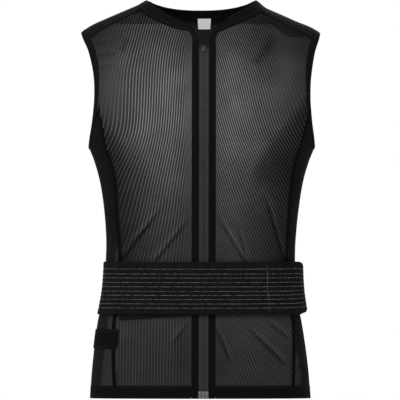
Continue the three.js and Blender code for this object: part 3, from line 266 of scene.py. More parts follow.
def around(angle, z, folds=True):
    angle, z = np.broadcast_arrays(np.asarray(angle, float), np.asarray(z, float))
    front = np.sin(angle) >= 0
    level = level_of(z)
    depth = np.where(front, CHEST_FRONT * read(BODY, "front", level),
                     CHEST_BACK * read(BODY, "back", level))
    x = body_half(z) * power(np.cos(angle))
    y = -depth * power(np.sin(angle)) * shoulder_cap(x, z)
    if folds:
        y = y - np.where(front, fold_rise(x, z), 0)
    return np.stack([x, y, z], axis=-1)


def angle_at(share, hand, side):
    turn = np.arccos(np.clip(share, 0, 1) ** (SQUARENESS / 2)) * side
    return turn if hand > 0 else math.pi - turn


print("chest is", round(float(depth_at(0.0, np.array(-250.0), FRONT))), "mm deep in front")

# %% [markdown]
# ## A wall of cloth
# Cloth has two faces and a hem. A modifier could thicken a sheet, but bands and bindings are
# thicker in the middle than along their edges, so the wall is built here: a grid of points on the
# body form is lifted along its normals by an inner and an outer height. The UV map holds true
# lengths in metres along the cloth, so that a weave keeps its scale on every piece.

# %% Grid normals, the wearer's stance and the wall


def grid_normals(points, loop=False):
    along = np.roll(points, -1, 1) - np.roll(points, 1, 1) if loop else np.gradient(points, axis=1)
    normals = np.cross(along, np.gradient(points, axis=0))
    normals /= np.linalg.norm(normals, axis=-1, keepdims=True) + 1e-9
    outwards = np.sum(normals[..., :2] * points[..., :2])
    return normals if outwards > 0 else -normals


def stance(points):
    """The worn vest sways a little from side to side, and its shoulders sag, most on the left."""
    moved = points.copy()
    moved[..., 0] += CHEST_HALF * read(BODY, "sway", level_of(points[..., 2]))
    out = np.abs(moved[..., 0])
    along = smooth(out, NECK_HALF, SLACK_FULL) * (1 - SLACK_GONE * smooth(out, *SLACK_EASE))
    most = np.where(moved[..., 0] > 0, SLACK_LEFT, SLACK_RIGHT)
    moved[..., 2] -= most * along * smooth(moved[..., 2], *SLACK_DEPTH)
    return moved


def lengths(points, axis):
    steps = np.linalg.norm(np.diff(points, axis=axis), axis=-1)
    return np.insert(np.cumsum(steps, axis=axis), 0, 0, axis=axis)


def placed(name, data):
    made = bpy.data.objects.new(name, data)
    bpy.context.collection.objects.link(made)
    return made


def make_mesh(name, vertices, faces, uvs, look):
    mesh = bpy.data.meshes.new(name)
    mesh.vertices.add(len(vertices))
    mesh.vertices.foreach_set("co", (vertices * MM).ravel())
    mesh.loops.add(faces.size)
    mesh.loops.foreach_set("vertex_index", faces.ravel())
    mesh.polygons.add(len(faces))
    mesh.polygons.foreach_set("loop_start", np.arange(0, faces.size, faces.shape[1]))
    mesh.update(calc_edges=True)
    mesh.uv_layers.new(name="cloth").data.foreach_set("uv", (uvs * MM).ravel())
    mesh.materials.append(look)
    mesh.shade_smooth()
    mesh.set_sharp_from_angle(angle=math.radians(50))
    return placed(name, mesh)


def wall(name, points, inner, outer, look, loop=False):
    rows, columns = points.shape[:2]
    normals = grid_normals(points, loop)
    heights = [np.broadcast_to(height, (rows, columns))[..., None] for height in (outer, inner)]
    vertices = np.concatenate([stance(points + normals * h).reshape(-1, 3) for h in heights])
    closed = np.concatenate([points, points[:, :1]], axis=1) if loop else points
    uv = np.stack([lengths(closed, 1), lengths(closed, 0)], axis=-1)
    layer = rows * columns
    across = columns if loop else columns - 1
    quads = []

    def add(corners):
        """corners are four (row, column, layer) arrays."""
        index = np.stack([j * columns + i % columns + k * layer for j, i, k in corners], axis=-1)
        lengths_there = np.stack([uv[j, i] for j, i, k in corners], axis=-2)
        quads.append((index.reshape(-1, 4), lengths_there.reshape(-1, 4, 2)))

    j, i = (grid.ravel() for grid in np.mgrid[0 : rows - 1, 0:across])
    add([(j, i, 0), (j, i + 1, 0), (j + 1, i + 1, 0), (j + 1, i, 0)])
    add([(j, i, 1), (j + 1, i, 1), (j + 1, i + 1, 1), (j, i + 1, 1)])
    i = np.arange(across)
    bottom, top = np.zeros_like(i), np.full_like(i, rows - 1)
    add([(bottom, i, 1), (bottom, i + 1, 1), (bottom, i + 1, 0), (bottom, i, 0)])
    add([(top, i, 0), (top, i + 1, 0), (top, i + 1, 1), (top, i, 1)])
    if not loop:
        j = np.arange(rows - 1)
        first, last = np.zeros_like(j), np.full_like(j, columns - 1)
        add([(j, first, 1), (j, first, 0), (j + 1, first, 0), (j + 1, first, 1)])
        add([(j, last, 0), (j, last, 1), (j + 1, last, 1), (j + 1, last, 0)])
    faces = np.concatenate([q for q, _ in quads])
    uvs = np.concatenate([t for _, t in quads])
    a, b, c, d = (vertices[faces[:, n]] for n in range(4))
    volume = np.sum(a * np.cross(b, c)) + np.sum(a * np.cross(c, d))
    if volume < 0:
        faces, uvs = faces[:, ::-1], uvs[:, ::-1]
    return make_mesh(name, vertices, np.ascontiguousarray(faces), np.ascontiguousarray(uvs), look)


def crown(v, least=0.15, sharpness=6):
    """The thickness of a folded band over its width: full in the middle, thin along the edges."""
    return np.maximum((1 - np.abs(2 * v - 1) ** sharpness) ** 0.5, least)


def limit_of(passes, good, bad, rounds=26):
    """The place between a passing and a failing value that still passes a test."""
    inside, outside = np.asarray(good, float), np.asarray(bad, float)
    for _ in range(rounds):
        middle = (inside + outside) / 2
        ok = passes(middle)
        inside, outside = np.where(ok, middle, inside), np.where(ok, outside, middle)
    return inside


def even(count, start=0.0, end=1.0):
    return np.linspace(start, end, count + 1)


def rounded(count):
    """Steps from 0 to 1 that crowd towards both ends, for the edges of a band."""
    return (1 - np.cos(np.pi * even(count))) / 2


def places_of(piece):
    """Every point of a piece in millimetres, and its place across with the sway taken out."""
    place = np.empty(len(piece.data.vertices) * 3)
    piece.data.vertices.foreach_get("co", place)
    place = place.reshape(-1, 3) / MM
    return place, place[:, 0] - CHEST_HALF * read(BODY, "sway", level_of(place[:, 2]))


def mark(piece, name, of_place):
    """Stores a number on every point, worked out from its place across and up."""
    place, x = places_of(piece)
    layer = piece.data.attributes.new(name, "FLOAT", "POINT")
    layer.data.foreach_set("value", of_place(x, place[:, 2]).astype(np.float32))


def dress(piece, slot, *nodes):
    """The piece rides on the vest's one body and stands for the solids it replaces."""
    if nodes:
        piece.name = "fine_" + nodes[0]
    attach(piece, "root")
    if nodes:
        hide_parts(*nodes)
    print(piece.name, len(piece.data.polygons), "faces")
    return piece


# %% [markdown]
# ## Where the pieces meet
# A sewn vest is cut along its seams. The armhole's rim is worked out as it looks from the side and
# moved outwards by the width of its binding. The side seams, the shoulder seams and the neck
# band's seam are lines on the body form, from tables in shares of the vest's own sizes.

# %% Armhole rims
BINDING_WIDTH, CURVED_GAP, SEAM_GAP = 9, 0.8, 0.3


def armhole_rim(distance, samples=120):
    """Depth and height of a closed line round the armhole, from its top down the front."""
    z = mix(-SHOULDER_DROP, -ARMPIT_DROP, rounded(samples))
    front = np.stack([-depth_at(armhole_edge(z), z, FRONT), z], axis=-1)
    back = np.stack([depth_at(armhole_edge(z), z, BACK), z], axis=-1)[::-1]
    rim = np.concatenate([front, back[1:-1]])
    along = np.roll(rim, -1, 0) - np.roll(rim, 1, 0)
    along /= np.linalg.norm(along, axis=-1, keepdims=True)
    return rim + np.stack([along[:, 1], -along[:, 0]], axis=-1) * distance


def across_at(depth, z, side):
    """Where the body form has a given depth, at a given height."""
    inside = NECK_HALF / 2 + 0 * z
    return limit_of(lambda x: depth_at(x, z, side) > np.abs(depth), inside, body_half(z))


PIECE_RIM = armhole_rim(BINDING_WIDTH + CURVED_GAP)
RIM_TOP, RIM_BOTTOM = PIECE_RIM[:, 1].max(), PIECE_RIM[:, 1].min()


def rim_depth(z, side):
    here = PIECE_RIM[-side * PIECE_RIM[:, 0] >= 0]
    here = here[np.argsort(here[:, 1])]
    return np.interp(z, here[:, 1], np.abs(here[:, 0]), left=np.nan)


def rim_across(z, side):
    depth = rim_depth(z, side)
    known = ~np.isnan(depth)
    found = across_at(np.where(known, depth, 0), z, side)
    return np.where(known, found, np.inf)


print("armhole is", round(RIM_TOP - RIM_BOTTOM), "mm high with its binding")

# %% Side seams, zip and shoulder seams
SIDE_SEAMS = dict(
    level=[0.70, 0.85, 1.00, 1.12, 1.30, 1.45, 1.68, 1.85, 2.00],
    right=[0.865, 0.861, 0.858, 0.856, 0.876, 0.850, 0.840, 0.808, 0.770],
    left=[0.900, 0.892, 0.875, 0.890, 0.912, 0.914, 0.920, 0.875, 0.835],
    back=[0.870, 0.868, 0.862, 0.850, 0.845, 0.840, 0.830, 0.820, 0.810],
)
RIGHT, LEFT = -1, 1
HAND_NAMES = {RIGHT: "right", LEFT: "left"}
PIPING_WIDTH = 3.4
ZIP_HALF, ZIP_BAND_WIDTH, ZIP_SHIFT, ZIP_SHIFT_LEFT = 8.2, 12, 4.7, 0.75
HEM_HEIGHT = 22
HEM_TOP = -BODY_LENGTH + HEM_HEIGHT
PANEL_BOTTOM = HEM_TOP + SEAM_GAP
YOKE_DROP = {FRONT: 16, BACK: 20}
YOKE_SEAM = dict(out=[-1.0, 0.0, 0.5, 0.8, 1.0], drop=[0.90, 0.90, 1.02, 1.25, 1.62])


def seam_across(z, hand, side, shift=0.0):
    column = HAND_NAMES[hand] if side == FRONT else "back"
    return body_half(z) * read(SIDE_SEAMS, column, level_of(z)) + shift


def seam_angle(z, hand, side, shift=0.0):
    return angle_at(seam_across(z, hand, side, shift) / body_half(z), hand, side)


def zip_middle(z):
    shift = ZIP_SHIFT * mix(1, ZIP_SHIFT_LEFT, np.clip(-z / BODY_LENGTH, 0, 1))
    return shift - CHEST_HALF * read(BODY, "sway", level_of(z))


YOKE_RISE = {FRONT: 5, BACK: 0}  # the sewn seam lies this much higher at the neck


def yoke_seam(x, side):
    out = (np.abs(x) - NECK_HALF) / (SHOULDER_HALF - NECK_HALF)
    rise = YOKE_RISE[side] * np.clip(1 - out, 0, 1) ** 0.7
    return shoulder_line(x) - YOKE_DROP[side] * read(YOKE_SEAM, "drop", out) + rise


print("zip lies", round(float(zip_middle(np.array(-86.0))), 1), "mm to the wearer's left")

# %% [markdown]
# The neck band runs from the zip over each shoulder to the middle of the back. Half of it is a
# table of stations, each with a point on its free edge and one on its seam. The band's height
# changes along it, so both edges need points of their own.

# %% Neck band stations
NECK_FRONT_DROP, NECK_BACK_DROP, NECK_SEAM_GAP = 46, 16.5, 1.5
NECK_BAND = dict(
    side=[1, 1, 1, 1, 1, 1, 1, 1, 1, 0, -1, -1, -1, -1, -1, -1, -1],
    edge_across=[0.065, 0.130, 0.214, 0.330, 0.490, 0.680, 0.860, 0.955, 0.988, 1.0, 0.990, 0.960,
                 0.860, 0.680, 0.450, 0.220, 0.0],
    edge_down=[1.57, 1.28, 1.00, 0.85, 0.66, 0.45, 0.24, 0.10, 0.03, 0, 0.03, 0.10, 0.36, 0.66,
               0.88, 0.98, 1.0],
    seam_across=[0.196, 0.212, 0.270, 0.400, 0.560, 0.800, 1.020, 1.110, 1.128, 1.134, 1.128, 1.110,
                 0.960, 0.740, 0.480, 0.230, 0.0],
    seam_down=[1.57, 1.38, 1.16, 1.07, 0.96, 0.75, 0.53, 0.42, 0.19, 0, 0.56, 1.15, 1.52, 1.80,
               1.98, 2.07, 2.09],
)
SHOULDER_STATION, CORNER_STEP = 9, 2
LAST_STATION = len(NECK_BAND["side"]) - 1
STATIONS = dict(at=list(range(LAST_STATION + 1)), edge=[], seam=[], edge_way=[], seam_way=[])
for n, side in enumerate(NECK_BAND["side"]):
    drop = NECK_BACK_DROP if side == BACK else NECK_FRONT_DROP
    edge, seam = (NECK_BAND[column][n] * NECK_HALF for column in ("edge_across", "seam_across"))
    high, low = (-NECK_BAND[column][n] * drop for column in ("edge_down", "seam_down"))
    if abs(n - SHOULDER_STATION) == CORNER_STEP:
        low = float(yoke_seam(seam, side))
    STATIONS["edge"].append(edge)
    STATIONS["seam"].append(seam)
    STATIONS["edge_way"].append(float(way_to(edge, high, side)) if side else 0)
    STATIONS["seam_way"].append(float(way_to(seam, low, side)) if side else 0)


def neck_place(at, share, hand):
    """A place on the neck band, from its seam, share 0, to its free edge, share 1."""
    x = mix(read(STATIONS, "seam", at), read(STATIONS, "edge", at), share)
    way = mix(read(STATIONS, "seam_way", at), read(STATIONS, "edge_way", at), share)
    z = over_shoulder(x, way)[..., 2]
    shifted = hand * x + (1 - smooth(x, 23, 55)) * zip_middle(z)
    front = way > 0
    return np.where(front, shifted, hand * x), np.where(front, way_to(shifted, z, FRONT), way)


def neck_seam(x, side, hand):
    ends = (0, SHOULDER_STATION - 1) if side == FRONT else (LAST_STATION, SHOULDER_STATION + 1)
    at = even(300, *ends)
    across, way = neck_place(at, 0.0, hand)
    return np.interp(x, hand * across, over_shoulder(across, way)[:, 2])


def corner_across(side):
    return STATIONS["seam"][SHOULDER_STATION - side * CORNER_STEP]


def panel_top(x, side, hand):
    below_band = neck_seam(x, side, hand) - NECK_SEAM_GAP
    return np.where(x > corner_across(side) + CURVED_GAP, yoke_seam(x, side) - SEAM_GAP, below_band)


def panel_seam(z, hand, side):
    return seam_across(z, hand, side, -PIPING_WIDTH / 2 - CURVED_GAP)


def panel_edge(z, hand, side):
    return np.minimum(panel_seam(z, hand, side), rim_across(np.minimum(z, RIM_TOP), side))


def panel_widest(hand, side):
    top = limit_of(lambda z: z < yoke_seam(panel_edge(z, hand, side), side) - SEAM_GAP,
                   np.array([-ARMPIT_DROP + 0.0]), np.array([-SHOULDER_DROP + 0.0]))
    return float(panel_edge(top, hand, side)[0])


print("neck band has", LAST_STATION + 1, "stations on each half")

# %% [markdown]
# ## Shader maths that reads like maths
# A finish is a tree of nodes. Linking dozens of Math nodes by hand hides the idea, so a small
# class wraps a socket and lets Python's operators add the nodes. Greys need only one number, so
# a tone is worked out as a value. Any other node comes from one method of the finish.

# %% Sockets with operators, and a finish


def feed(tree, socket, value):
    if isinstance(value, Value):
        value = value.socket
    if isinstance(value, bpy.types.NodeSocket):
        tree.links.new(value, socket)
    else:
        socket.default_value = value


def add_node(tree, kind, settings=None, inputs=None):
    made = tree.nodes.new(kind)
    for key, value in (settings or {}).items():
        if key == "stops":
            for stop, (place, tone) in zip(made.color_ramp.elements, value):
                stop.position, stop.color = place, (tone, tone, tone, 1)
        else:
            setattr(made, key, value)
    for key, value in (inputs or {}).items():
        feed(tree, made.inputs[key], value)
    return made


class Value:
    """A socket of a finish that can stand in a sum."""

    def __init__(self, finish, socket):
        self.finish, self.socket = finish, socket

    def math(self, operation, *others):
        inputs = dict(enumerate((self, *others)))
        return self.finish.node("Math", {"operation": operation}, inputs)

    def __add__(self, other):
        return self.math("ADD", other)

    def __sub__(self, other):
        return self.math("SUBTRACT", other)

    def __rsub__(self, other):
        return (self * -1) + other

    def __mul__(self, other):
        return self.math("MULTIPLY", other)

    def __truediv__(self, other):
        return self.math("DIVIDE", other)

    def __pow__(self, other):
        return self.math("POWER", other)

    __radd__, __rmul__ = __add__, __mul__

    def wave(self, pitch):
        """From 0 to 1 and back within each pitch."""
        return (self * (2 * math.pi / pitch)).math("SINE") * 0.5 + 0.5

    def step(self, low, high):
        """From 0 below low to 1 above high, smoothly."""
        return self.finish.node("MapRange", {"interpolation_type": "SMOOTHSTEP"},
                                {0: self, 1: low, 2: high, 3: 0.0, 4: 1.0})


class Finish:
    """A material with one principled shader. Fixed numbers sit on the shader's own sockets."""

    def __init__(self, name, roughness=0.8, specular=0.1, metallic=0.0, sheen=0.0, **fixed):
        self.material = bpy.data.materials.new(name)
        self.material.use_nodes = True
        self.tree = self.material.node_tree
        self.tree.nodes.clear()
        self.shader = self.tree.nodes.new("ShaderNodeBsdfPrincipled")
        out = self.tree.nodes.new("ShaderNodeOutputMaterial")
        self.tree.links.new(self.shader.outputs[0], out.inputs[0])
        inputs = {"Roughness": roughness, "Specular IOR Level": specular, "Metallic": metallic,
                  "Sheen Weight": sheen, **fixed}
        for key, value in inputs.items():
            self.shader.inputs[key].default_value = value

    def node(self, kind, settings=None, inputs=None, output=0):
        made = add_node(self.tree, "ShaderNode" + kind, settings, inputs)
        return Value(self, made.outputs[output])

    def cloth_uv(self):
        uv = self.node("UVMap", {"uv_map": "cloth"})
        split = self.node("SeparateXYZ", None, {0: uv}).socket.node
        return Value(self, split.outputs[0]), Value(self, split.outputs[1])

    def place(self):
        where = self.node("TexCoord", output=3)
        split = self.node("SeparateXYZ", None, {0: where}).socket.node
        return where, *(Value(self, socket) for socket in split.outputs)

    def noise(self, scale, detail=2.0, where=None):
        """Unevenness from about -0.5 to 0.5, on the object's own coordinates."""
        where = where or self.node("TexCoord", output=3)
        found = self.node("TexNoise", None, {"Vector": where, "Scale": scale, "Detail": detail})
        return found - 0.5

    def tone(self, value):
        """A grey. A number is set on the socket, and a value that varies is linked."""
        if isinstance(value, (int, float)):
            value = (value, value, value, 1)
        feed(self.tree, self.shader.inputs["Base Color"], value)

    def rough(self, value):
        feed(self.tree, self.shader.inputs["Roughness"], value)

    def relief(self, height, depth, strength=1.0):
        """Bump from a height of 0 to 1 that stands for so many metres."""
        bump = self.node("Bump", None, {"Strength": strength, "Distance": depth, "Height": height})
        feed(self.tree, self.shader.inputs["Normal"], bump)


print("finishes are ready to be mixed")

# %% [markdown]
# ## Repeated parts with Geometry Nodes
# Ribs, stitches and coil teeth repeat hundreds of times along paths. Copying meshes in a loop works
# too, but a node tree keeps the path, the size and the finish apart, and each stays an input with
# a name. One tree sweeps a round section along paths, and the other sets beads along them.

# %% A node tree with named inputs


def grown(name, paths, build, look, **values):
    """A mesh grown by a node tree from open paths, given as arrays of points in millimetres."""
    vertices = stance(np.concatenate(paths)) * MM
    edges, start = [], 0
    for path in paths:
        edges += [(start + n, start + n + 1) for n in range(len(path) - 1)]
        start += len(path)
    mesh = bpy.data.meshes.new(name)
    mesh.from_pydata(vertices.tolist(), edges, [])
    guide = placed(name, mesh)
    tree = bpy.data.node_groups.new(name + "_tree", "GeometryNodeTree")

    def socket(label, kind, way="INPUT"):
        made = tree.interface.new_socket(label, in_out=way, socket_type="NodeSocket" + kind)
        return made.identifier

    socket("Paths", "Geometry")
    socket("Solid", "Geometry", "OUTPUT")
    sockets = {label: socket(label, "Int" if isinstance(value, int) else "Float")
               for label, value in values.items()}
    sockets["Finish"] = socket("Finish", "Material")
    inputs = tree.nodes.new("NodeGroupInput")

    def node(kind, settings=None, links=None):
        family = "" if kind.startswith("ShaderNode") else "GeometryNode"
        return add_node(tree, family + kind, settings, links)

    solid = build(node, inputs.outputs)
    real = node("RealizeInstances", None, {0: solid})
    painted = node("SetMaterial", None, {0: real.outputs[0], "Material": inputs.outputs["Finish"]})
    out = tree.nodes.new("NodeGroupOutput")
    tree.links.new(painted.outputs[0], out.inputs[0])
    modifier = guide.modifiers.new("grow", "NODES")
    modifier.node_group = tree
    for label, value in values.items():
        modifier[sockets[label]] = value
    modifier[sockets["Finish"]] = look.material
    grown_guide = guide.evaluated_get(bpy.context.evaluated_depsgraph_get())
    result = bpy.data.meshes.new_from_object(grown_guide)
    guide.modifiers.clear()
    guide.data = result
    result.name = name
    bpy.data.meshes.remove(mesh)
    return guide


def tube_tree(node, inputs):
    line = node("MeshToCurve", None, {"Mesh": inputs["Paths"]})
    section = node("CurvePrimitiveCircle", {"mode": "RADIUS"},
                   {"Resolution": inputs["Sides"], "Radius": inputs["Radius"]})
    swept = node("CurveToMesh", None, {"Curve": line.outputs[0], "Fill Caps": True,
                                       "Profile Curve": section.outputs[0]})
    return node("SetShadeSmooth", None, {"Geometry": swept.outputs[0]}).outputs[0]


def bead_tree(node, inputs):
    line = node("MeshToCurve", None, {"Mesh": inputs["Paths"]})
    spaced = node("CurveToPoints", {"mode": "LENGTH"},
                  {"Curve": line.outputs[0], "Length": inputs["Pitch"]})
    ball = node("MeshIcoSphere", None, {"Radius": 0.5, "Subdivisions": inputs["Detail"]})
    smooth_ball = node("SetShadeSmooth", None, {"Geometry": ball.outputs[0]})
    size = node("ShaderNodeCombineXYZ", None,
                {0: inputs["Thickness"], 1: inputs["Thickness"], 2: inputs["Length"]})
    beads_set = node("InstanceOnPoints", None,
                     {"Points": spaced.outputs[0], "Instance": smooth_ball.outputs[0],
                      "Rotation": spaced.outputs["Rotation"], "Scale": size.outputs[0]})
    return beads_set.outputs[0]


def tubes(name, paths, look, radius=0.75, sides=6):
    return grown(name, paths, tube_tree, look, Radius=radius * MM, Sides=sides)


def beads(name, paths, look, pitch, length, thickness, detail=1):
    return grown(name, paths, bead_tree, look, Pitch=pitch * MM, Length=length * MM,
                 Thickness=thickness * MM, Detail=detail)


print("node trees sweep tubes and set beads")

# %% [markdown]
# ## Finishes
# The whole vest is black and grey, so the finishes differ in weave and gloss, not in hue. Each one
# has the detail of the real cloth at its own scale, in metres: a knit has loops about a millimetre
# across, and an elastic webbing has cords. A pattern that follows the cloth reads its UV map.

# %% Knits and bindings


def knit(name, tone, loop=1.3, depth=0.25, sheen=0.0):
    look = Finish(name, roughness=0.85, specular=0.06, sheen=sheen)
    u, v = look.cloth_uv()
    loops = (u / MM).wave(loop) * (v / MM).wave(loop * 1.35)
    wear_and_shade = look.noise(14) + look.noise(90) * 0.6
    look.tone((loops * 0.5 + 0.75) * (wear_and_shade * 0.5 + 1.0) * tone)
    look.rough(wear_and_shade * 0.2 + 0.85)
    look.relief(loops, depth * MM, 0.6)
    return look


smooth_cloth = knit("stretch_cloth", 0.007)
neck_cloth = knit("neck_cloth", 0.004)
binding_cloth = knit("binding_cloth", 0.005, loop=0.9)
seam_cloth = knit("seam_cloth", 0.002, loop=0.9)
hem_cloth = knit("hem_cloth", 0.0035, loop=1.1)
patch_cloth = knit("patch_cloth", 0.0035, loop=1.5)
pad_cloth = Finish("pad_cloth", roughness=0.85, specular=0.08)
where, x, y, z = pad_cloth.place()
pad_weave = (x / MM).wave(1.6) * (z / MM).wave(1.6)
pad_worn = pad_cloth.noise(12) + pad_cloth.noise(120) * 0.5
pad_cloth.tone((pad_weave * 0.6 + 0.7) * (pad_worn * 0.4 + 1.0) * 0.02)
pad_cloth.rough(pad_worn * 0.2 + 0.85)
pad_cloth.relief(pad_weave, 0.3 * MM, 0.6)
print("knits are done")

# %% [markdown]
# The front and the back are a see-through mesh with raised ribs. The ribs are geometry, because
# they make the look of the vest, and the ground behind them is a dark net. The side panels are a
# closer net, whose holes are drawn by two crossing waves.

# %% Mesh, net and ribs


def painted_light(look):
    """Painted light and shade on the mesh, and how strongly its ribs show there."""
    where, x, y, z = look.place()
    out = (x * x).math("SQRT")
    # Painted light: the chest is lighter than the waist, and the top darker, as if lit from above.
    body = z.step(-0.45, -0.18) * 0.75 + 0.53
    top = 1 - z.step(-0.15, -0.04) * 0.56
    waist = 1 - z.step(-0.30, -0.22)
    left_hand = x.step(-0.01, 0.01)
    # Painted shade: darker towards the sides, on the wearer's left, in the armpits and towards the
    # hem. It is also darker beside the zip and in a band under the yoke seam.
    sides = (out + waist * 0.039).step(0.095, 0.20) * z.step(-0.56, -0.48)
    band = z.step(-0.17, -0.12) * (1 - out.step(0.11, 0.15))
    left = x.step(0.03, 0.12) * z.step(-0.50, -0.40) * (band * 0.22 + 0.13)
    left = left + left_hand * z.step(-0.36, -0.30) * 0.1
    seam = 1 - out.step(0.030, 0.055)
    under_yoke = (z + x.step(0.115, 0.150) * 0.022).step(-0.0425, -0.0395)
    armpit_shade = (out - (z + 0.2) * 0.8 + left_hand * 0.021).step(0.163, 0.190)
    armpit_shade = armpit_shade * z.step(-0.36, -0.26) * (out + left_hand * 0.04).step(0.120, 0.142)
    low = 1 - z.step(-0.62, -0.54)
    # Painted shade in the folds and on the inner face of the back, with a painted highlight on each
    # fold's ridge.
    shaded_fold = look.node("Attribute", {"attribute_name": "fold_shading"}, output=2)
    inside = look.node("Attribute", {"attribute_name": "inside"}, output=2)
    light = body * top * (1 - sides * (0.68 - left_hand * 0.1)) * (1 - left) * (1 - seam * 0.17)
    light = light * (1 - armpit_shade * (left_hand * 0.15 + 0.3)) * (1 - low * 0.2)
    light = light * (1 - under_yoke * 0.6) * (1 - shaded_fold * 0.8) * (1 - inside * 0.45)
    light = light * (1 + look.noise(30, 2.0) * 0.35)
    plain = (out + left_hand * 0.015).step(0.115, 0.155) * z.step(-0.24, -0.15)
    ribbed = out.step(0.022, 0.034) * (1 - plain * 0.85) * (z.step(-0.50, -0.20) * 0.5 + 0.5)
    return light, ribbed, z


# The net's ground and its ribs take painted light and shade from the function above.
mesh_ground = Finish("mesh_ground", roughness=0.9, specular=0.05)
u, v = mesh_ground.cloth_uv()
light, ribbed, z = painted_light(mesh_ground)
holes = ((u / MM).wave(1.5) * (v / MM).wave(1.5)).step(0.3, 0.6)
mesh_ground.tone((1 - holes * 0.4) * light * (0.080 - ribbed * 0.052))
mesh_ground.relief(1 - holes, 0.3 * MM, 0.7)

rib_thread = Finish("rib_thread", roughness=0.8, specular=0.06)
light, ribbed, z = painted_light(rib_thread)
patchy = rib_thread.noise(28, 3.0) + rib_thread.noise(300, 1.0) * 0.5
rib_thread.tone(light * (ribbed * 0.07 + 0.072) * (patchy * 0.7 + 1.0))
rib_thread.rough(patchy * 0.2 + 0.8)
rib_thread.relief((z / MM).wave(1.2), 0.2 * MM, 0.5)

side_net = Finish("side_net", roughness=0.85, specular=0.06)
u, v = side_net.cloth_uv()
along, over = (u + v * 0.5) / MM, (u - v * 0.5) / MM
cells = (along.wave(2.2) * over.wave(2.2)).step(0.15, 0.55)
shade = side_net.noise(16, 3.0)
where, x, y, z = side_net.place()
# Painted light on the side panels: lighter below the belt, most on the wearer's right towards the
# lamp, and in random patches low on the wearer's left; darker near the outline.
below_belt = 1 - z.step(-0.46, -0.38)
right_hand = 1 - x.step(-0.02, 0.02)
out = (x * x).math("SQRT") + (z + 0.68) * 0.12
wear_and_shade = side_net.noise(40, 1.0).step(-0.05, 0.15) * (1 - right_hand) * (1 - z.step(-0.62, -0.58))
turned = out.step(0.1735, 0.1765)
light = below_belt * (right_hand * 1.5 + wear_and_shade * 1.6 + 0.4) * (1 - turned * 0.8) + 0.45
side_net.tone((1 - cells * 0.75) * (shade * 0.8 + 1.0) * light * 0.014)
side_net.relief(1 - cells, 0.4 * MM, 0.8)
print("meshes are done")

# %% [markdown]
# The zip has woven tapes with a thick edge, a plastic slider and a metal end box. The kidney belt
# is elastic webbing: fine cords run along it, rolls of rubber show between them, and thin light
# threads mark each roll. The label is plain white satin.

# %% Zip, belt, label and thread
tape_weave = Finish("tape_weave", roughness=0.8, specular=0.1)
u, v = tape_weave.cloth_uv()
ribs = (u / MM).wave(1.1)
twill = ((u + v) / MM).wave(0.9)
where, x, y, z = tape_weave.place()
# Painted shade: the tapes are darker at the slider and above it, where the zip opens.
open_top_shade = z.step(-0.0855, -0.080)
wear_and_shade = (tape_weave.noise(60) * 0.5 + 1.0) * (1 - open_top_shade * 0.6)
tape_weave.tone((ribs * 0.5 + twill * 0.2 + 0.55) * wear_and_shade * 0.033)
tape_weave.relief(ribs * 0.7 + twill * 0.3, 0.25 * MM, 0.8)

zip_plastic = Finish("zip_plastic", roughness=0.35, specular=0.3)
scuffs = zip_plastic.noise(400, 4.0)
zip_plastic.tone((scuffs * 0.6 + 1.0) * 0.008)
zip_plastic.rough(scuffs * 0.4 + 0.38)

zip_metal = Finish("zip_metal", roughness=0.4, metallic=1.0)
scuffs = zip_metal.noise(500, 4.0) + zip_metal.noise(60) * 0.5
zip_metal.tone((scuffs * 0.5 + 1.0) * 0.20)
zip_metal.rough(scuffs * 0.3 + 0.42)
zip_metal.relief(scuffs + 0.5, 0.05 * MM, 0.5)

webbing = Finish("webbing", roughness=0.85, specular=0.06)
u, v = webbing.cloth_uv()
cords = (v / MM).wave(1.5)
crimp = ((u + webbing.noise(40) * 0.002) / MM).wave(2.4)
grain = webbing.noise(45, 3.0) + webbing.noise(350, 2.0) * 0.8
webbing.tone((cords * 0.35 + crimp * 0.5 + 0.4) * (grain * 0.9 + 1.0) * 0.007)
webbing.rough(grain * 0.2 + 0.85)
webbing.relief(cords * 0.5 + crimp * 0.5, 0.35 * MM, 0.8)

belt_thread = Finish("belt_thread", roughness=0.75, specular=0.1)
belt_thread.tone((belt_thread.noise(190, 3.0).step(-0.2, 0.2) * 1.5 + 0.3) * 0.14)

satin = Finish("label_satin", roughness=0.55, specular=0.3, sheen=0.2)
u, v = satin.cloth_uv()
satin.tone((satin.noise(80) * 0.04 + 0.97) * (1 - (v / MM).wave(0.6) * 0.05))
satin.relief((v / MM).wave(0.6), 0.1 * MM, 0.4)

dark_thread = Finish("dark_thread", roughness=0.7, specular=0.15)
dark_thread.tone((dark_thread.noise(500) * 0.6 + 1.0) * 0.02)
print("zip, belt, label and thread are done")

# %% [markdown]
# ## The front
# Each front panel is cut to the zip, the neck band, the yoke, the armhole and the side seam. A
# plane trimmed by booleans would leave ragged edges, so the grid itself follows the outline: each
# column ends where it meets the panel's top edge.

# %% Panels
FINE = dict(columns=72, rows=120)
MESH_WALL = 1.2
MESH_INNER, MESH_OUTER = -MESH_WALL / 2, MESH_WALL / 4  # the ribs stand on the outer face
TUCK = 2.0  # how far a panel goes in under its neighbours
RIM_TUCK = 4.4  # and under the binding of the armhole


def cloth(piece, points, held, **more):
    """Works out the area, width and height of a sheet's middle surface."""
    across, up = points[:, 1:] - points[:, :-1], points[1:] - points[:-1]
    area = float(np.linalg.norm(np.cross(across[:-1], up[:, :-1]), axis=-1).sum()) * MM * MM
    wide = float(np.linalg.norm(across, axis=-1).sum(axis=1).max()) * MM
    tall = float(np.linalg.norm(up, axis=-1).sum(axis=0).max()) * MM


def column_top(across, side, hand):
    good = np.full(np.shape(across(np.array(-300.0))), -ARMPIT_DROP + 0.0)
    return limit_of(lambda z: z < panel_top(across(z), side, hand), good, good * 0)


def zip_side(z, hand):
    return hand * zip_middle(z) + ZIP_HALF + ZIP_BAND_WIDTH + 2 * SEAM_GAP


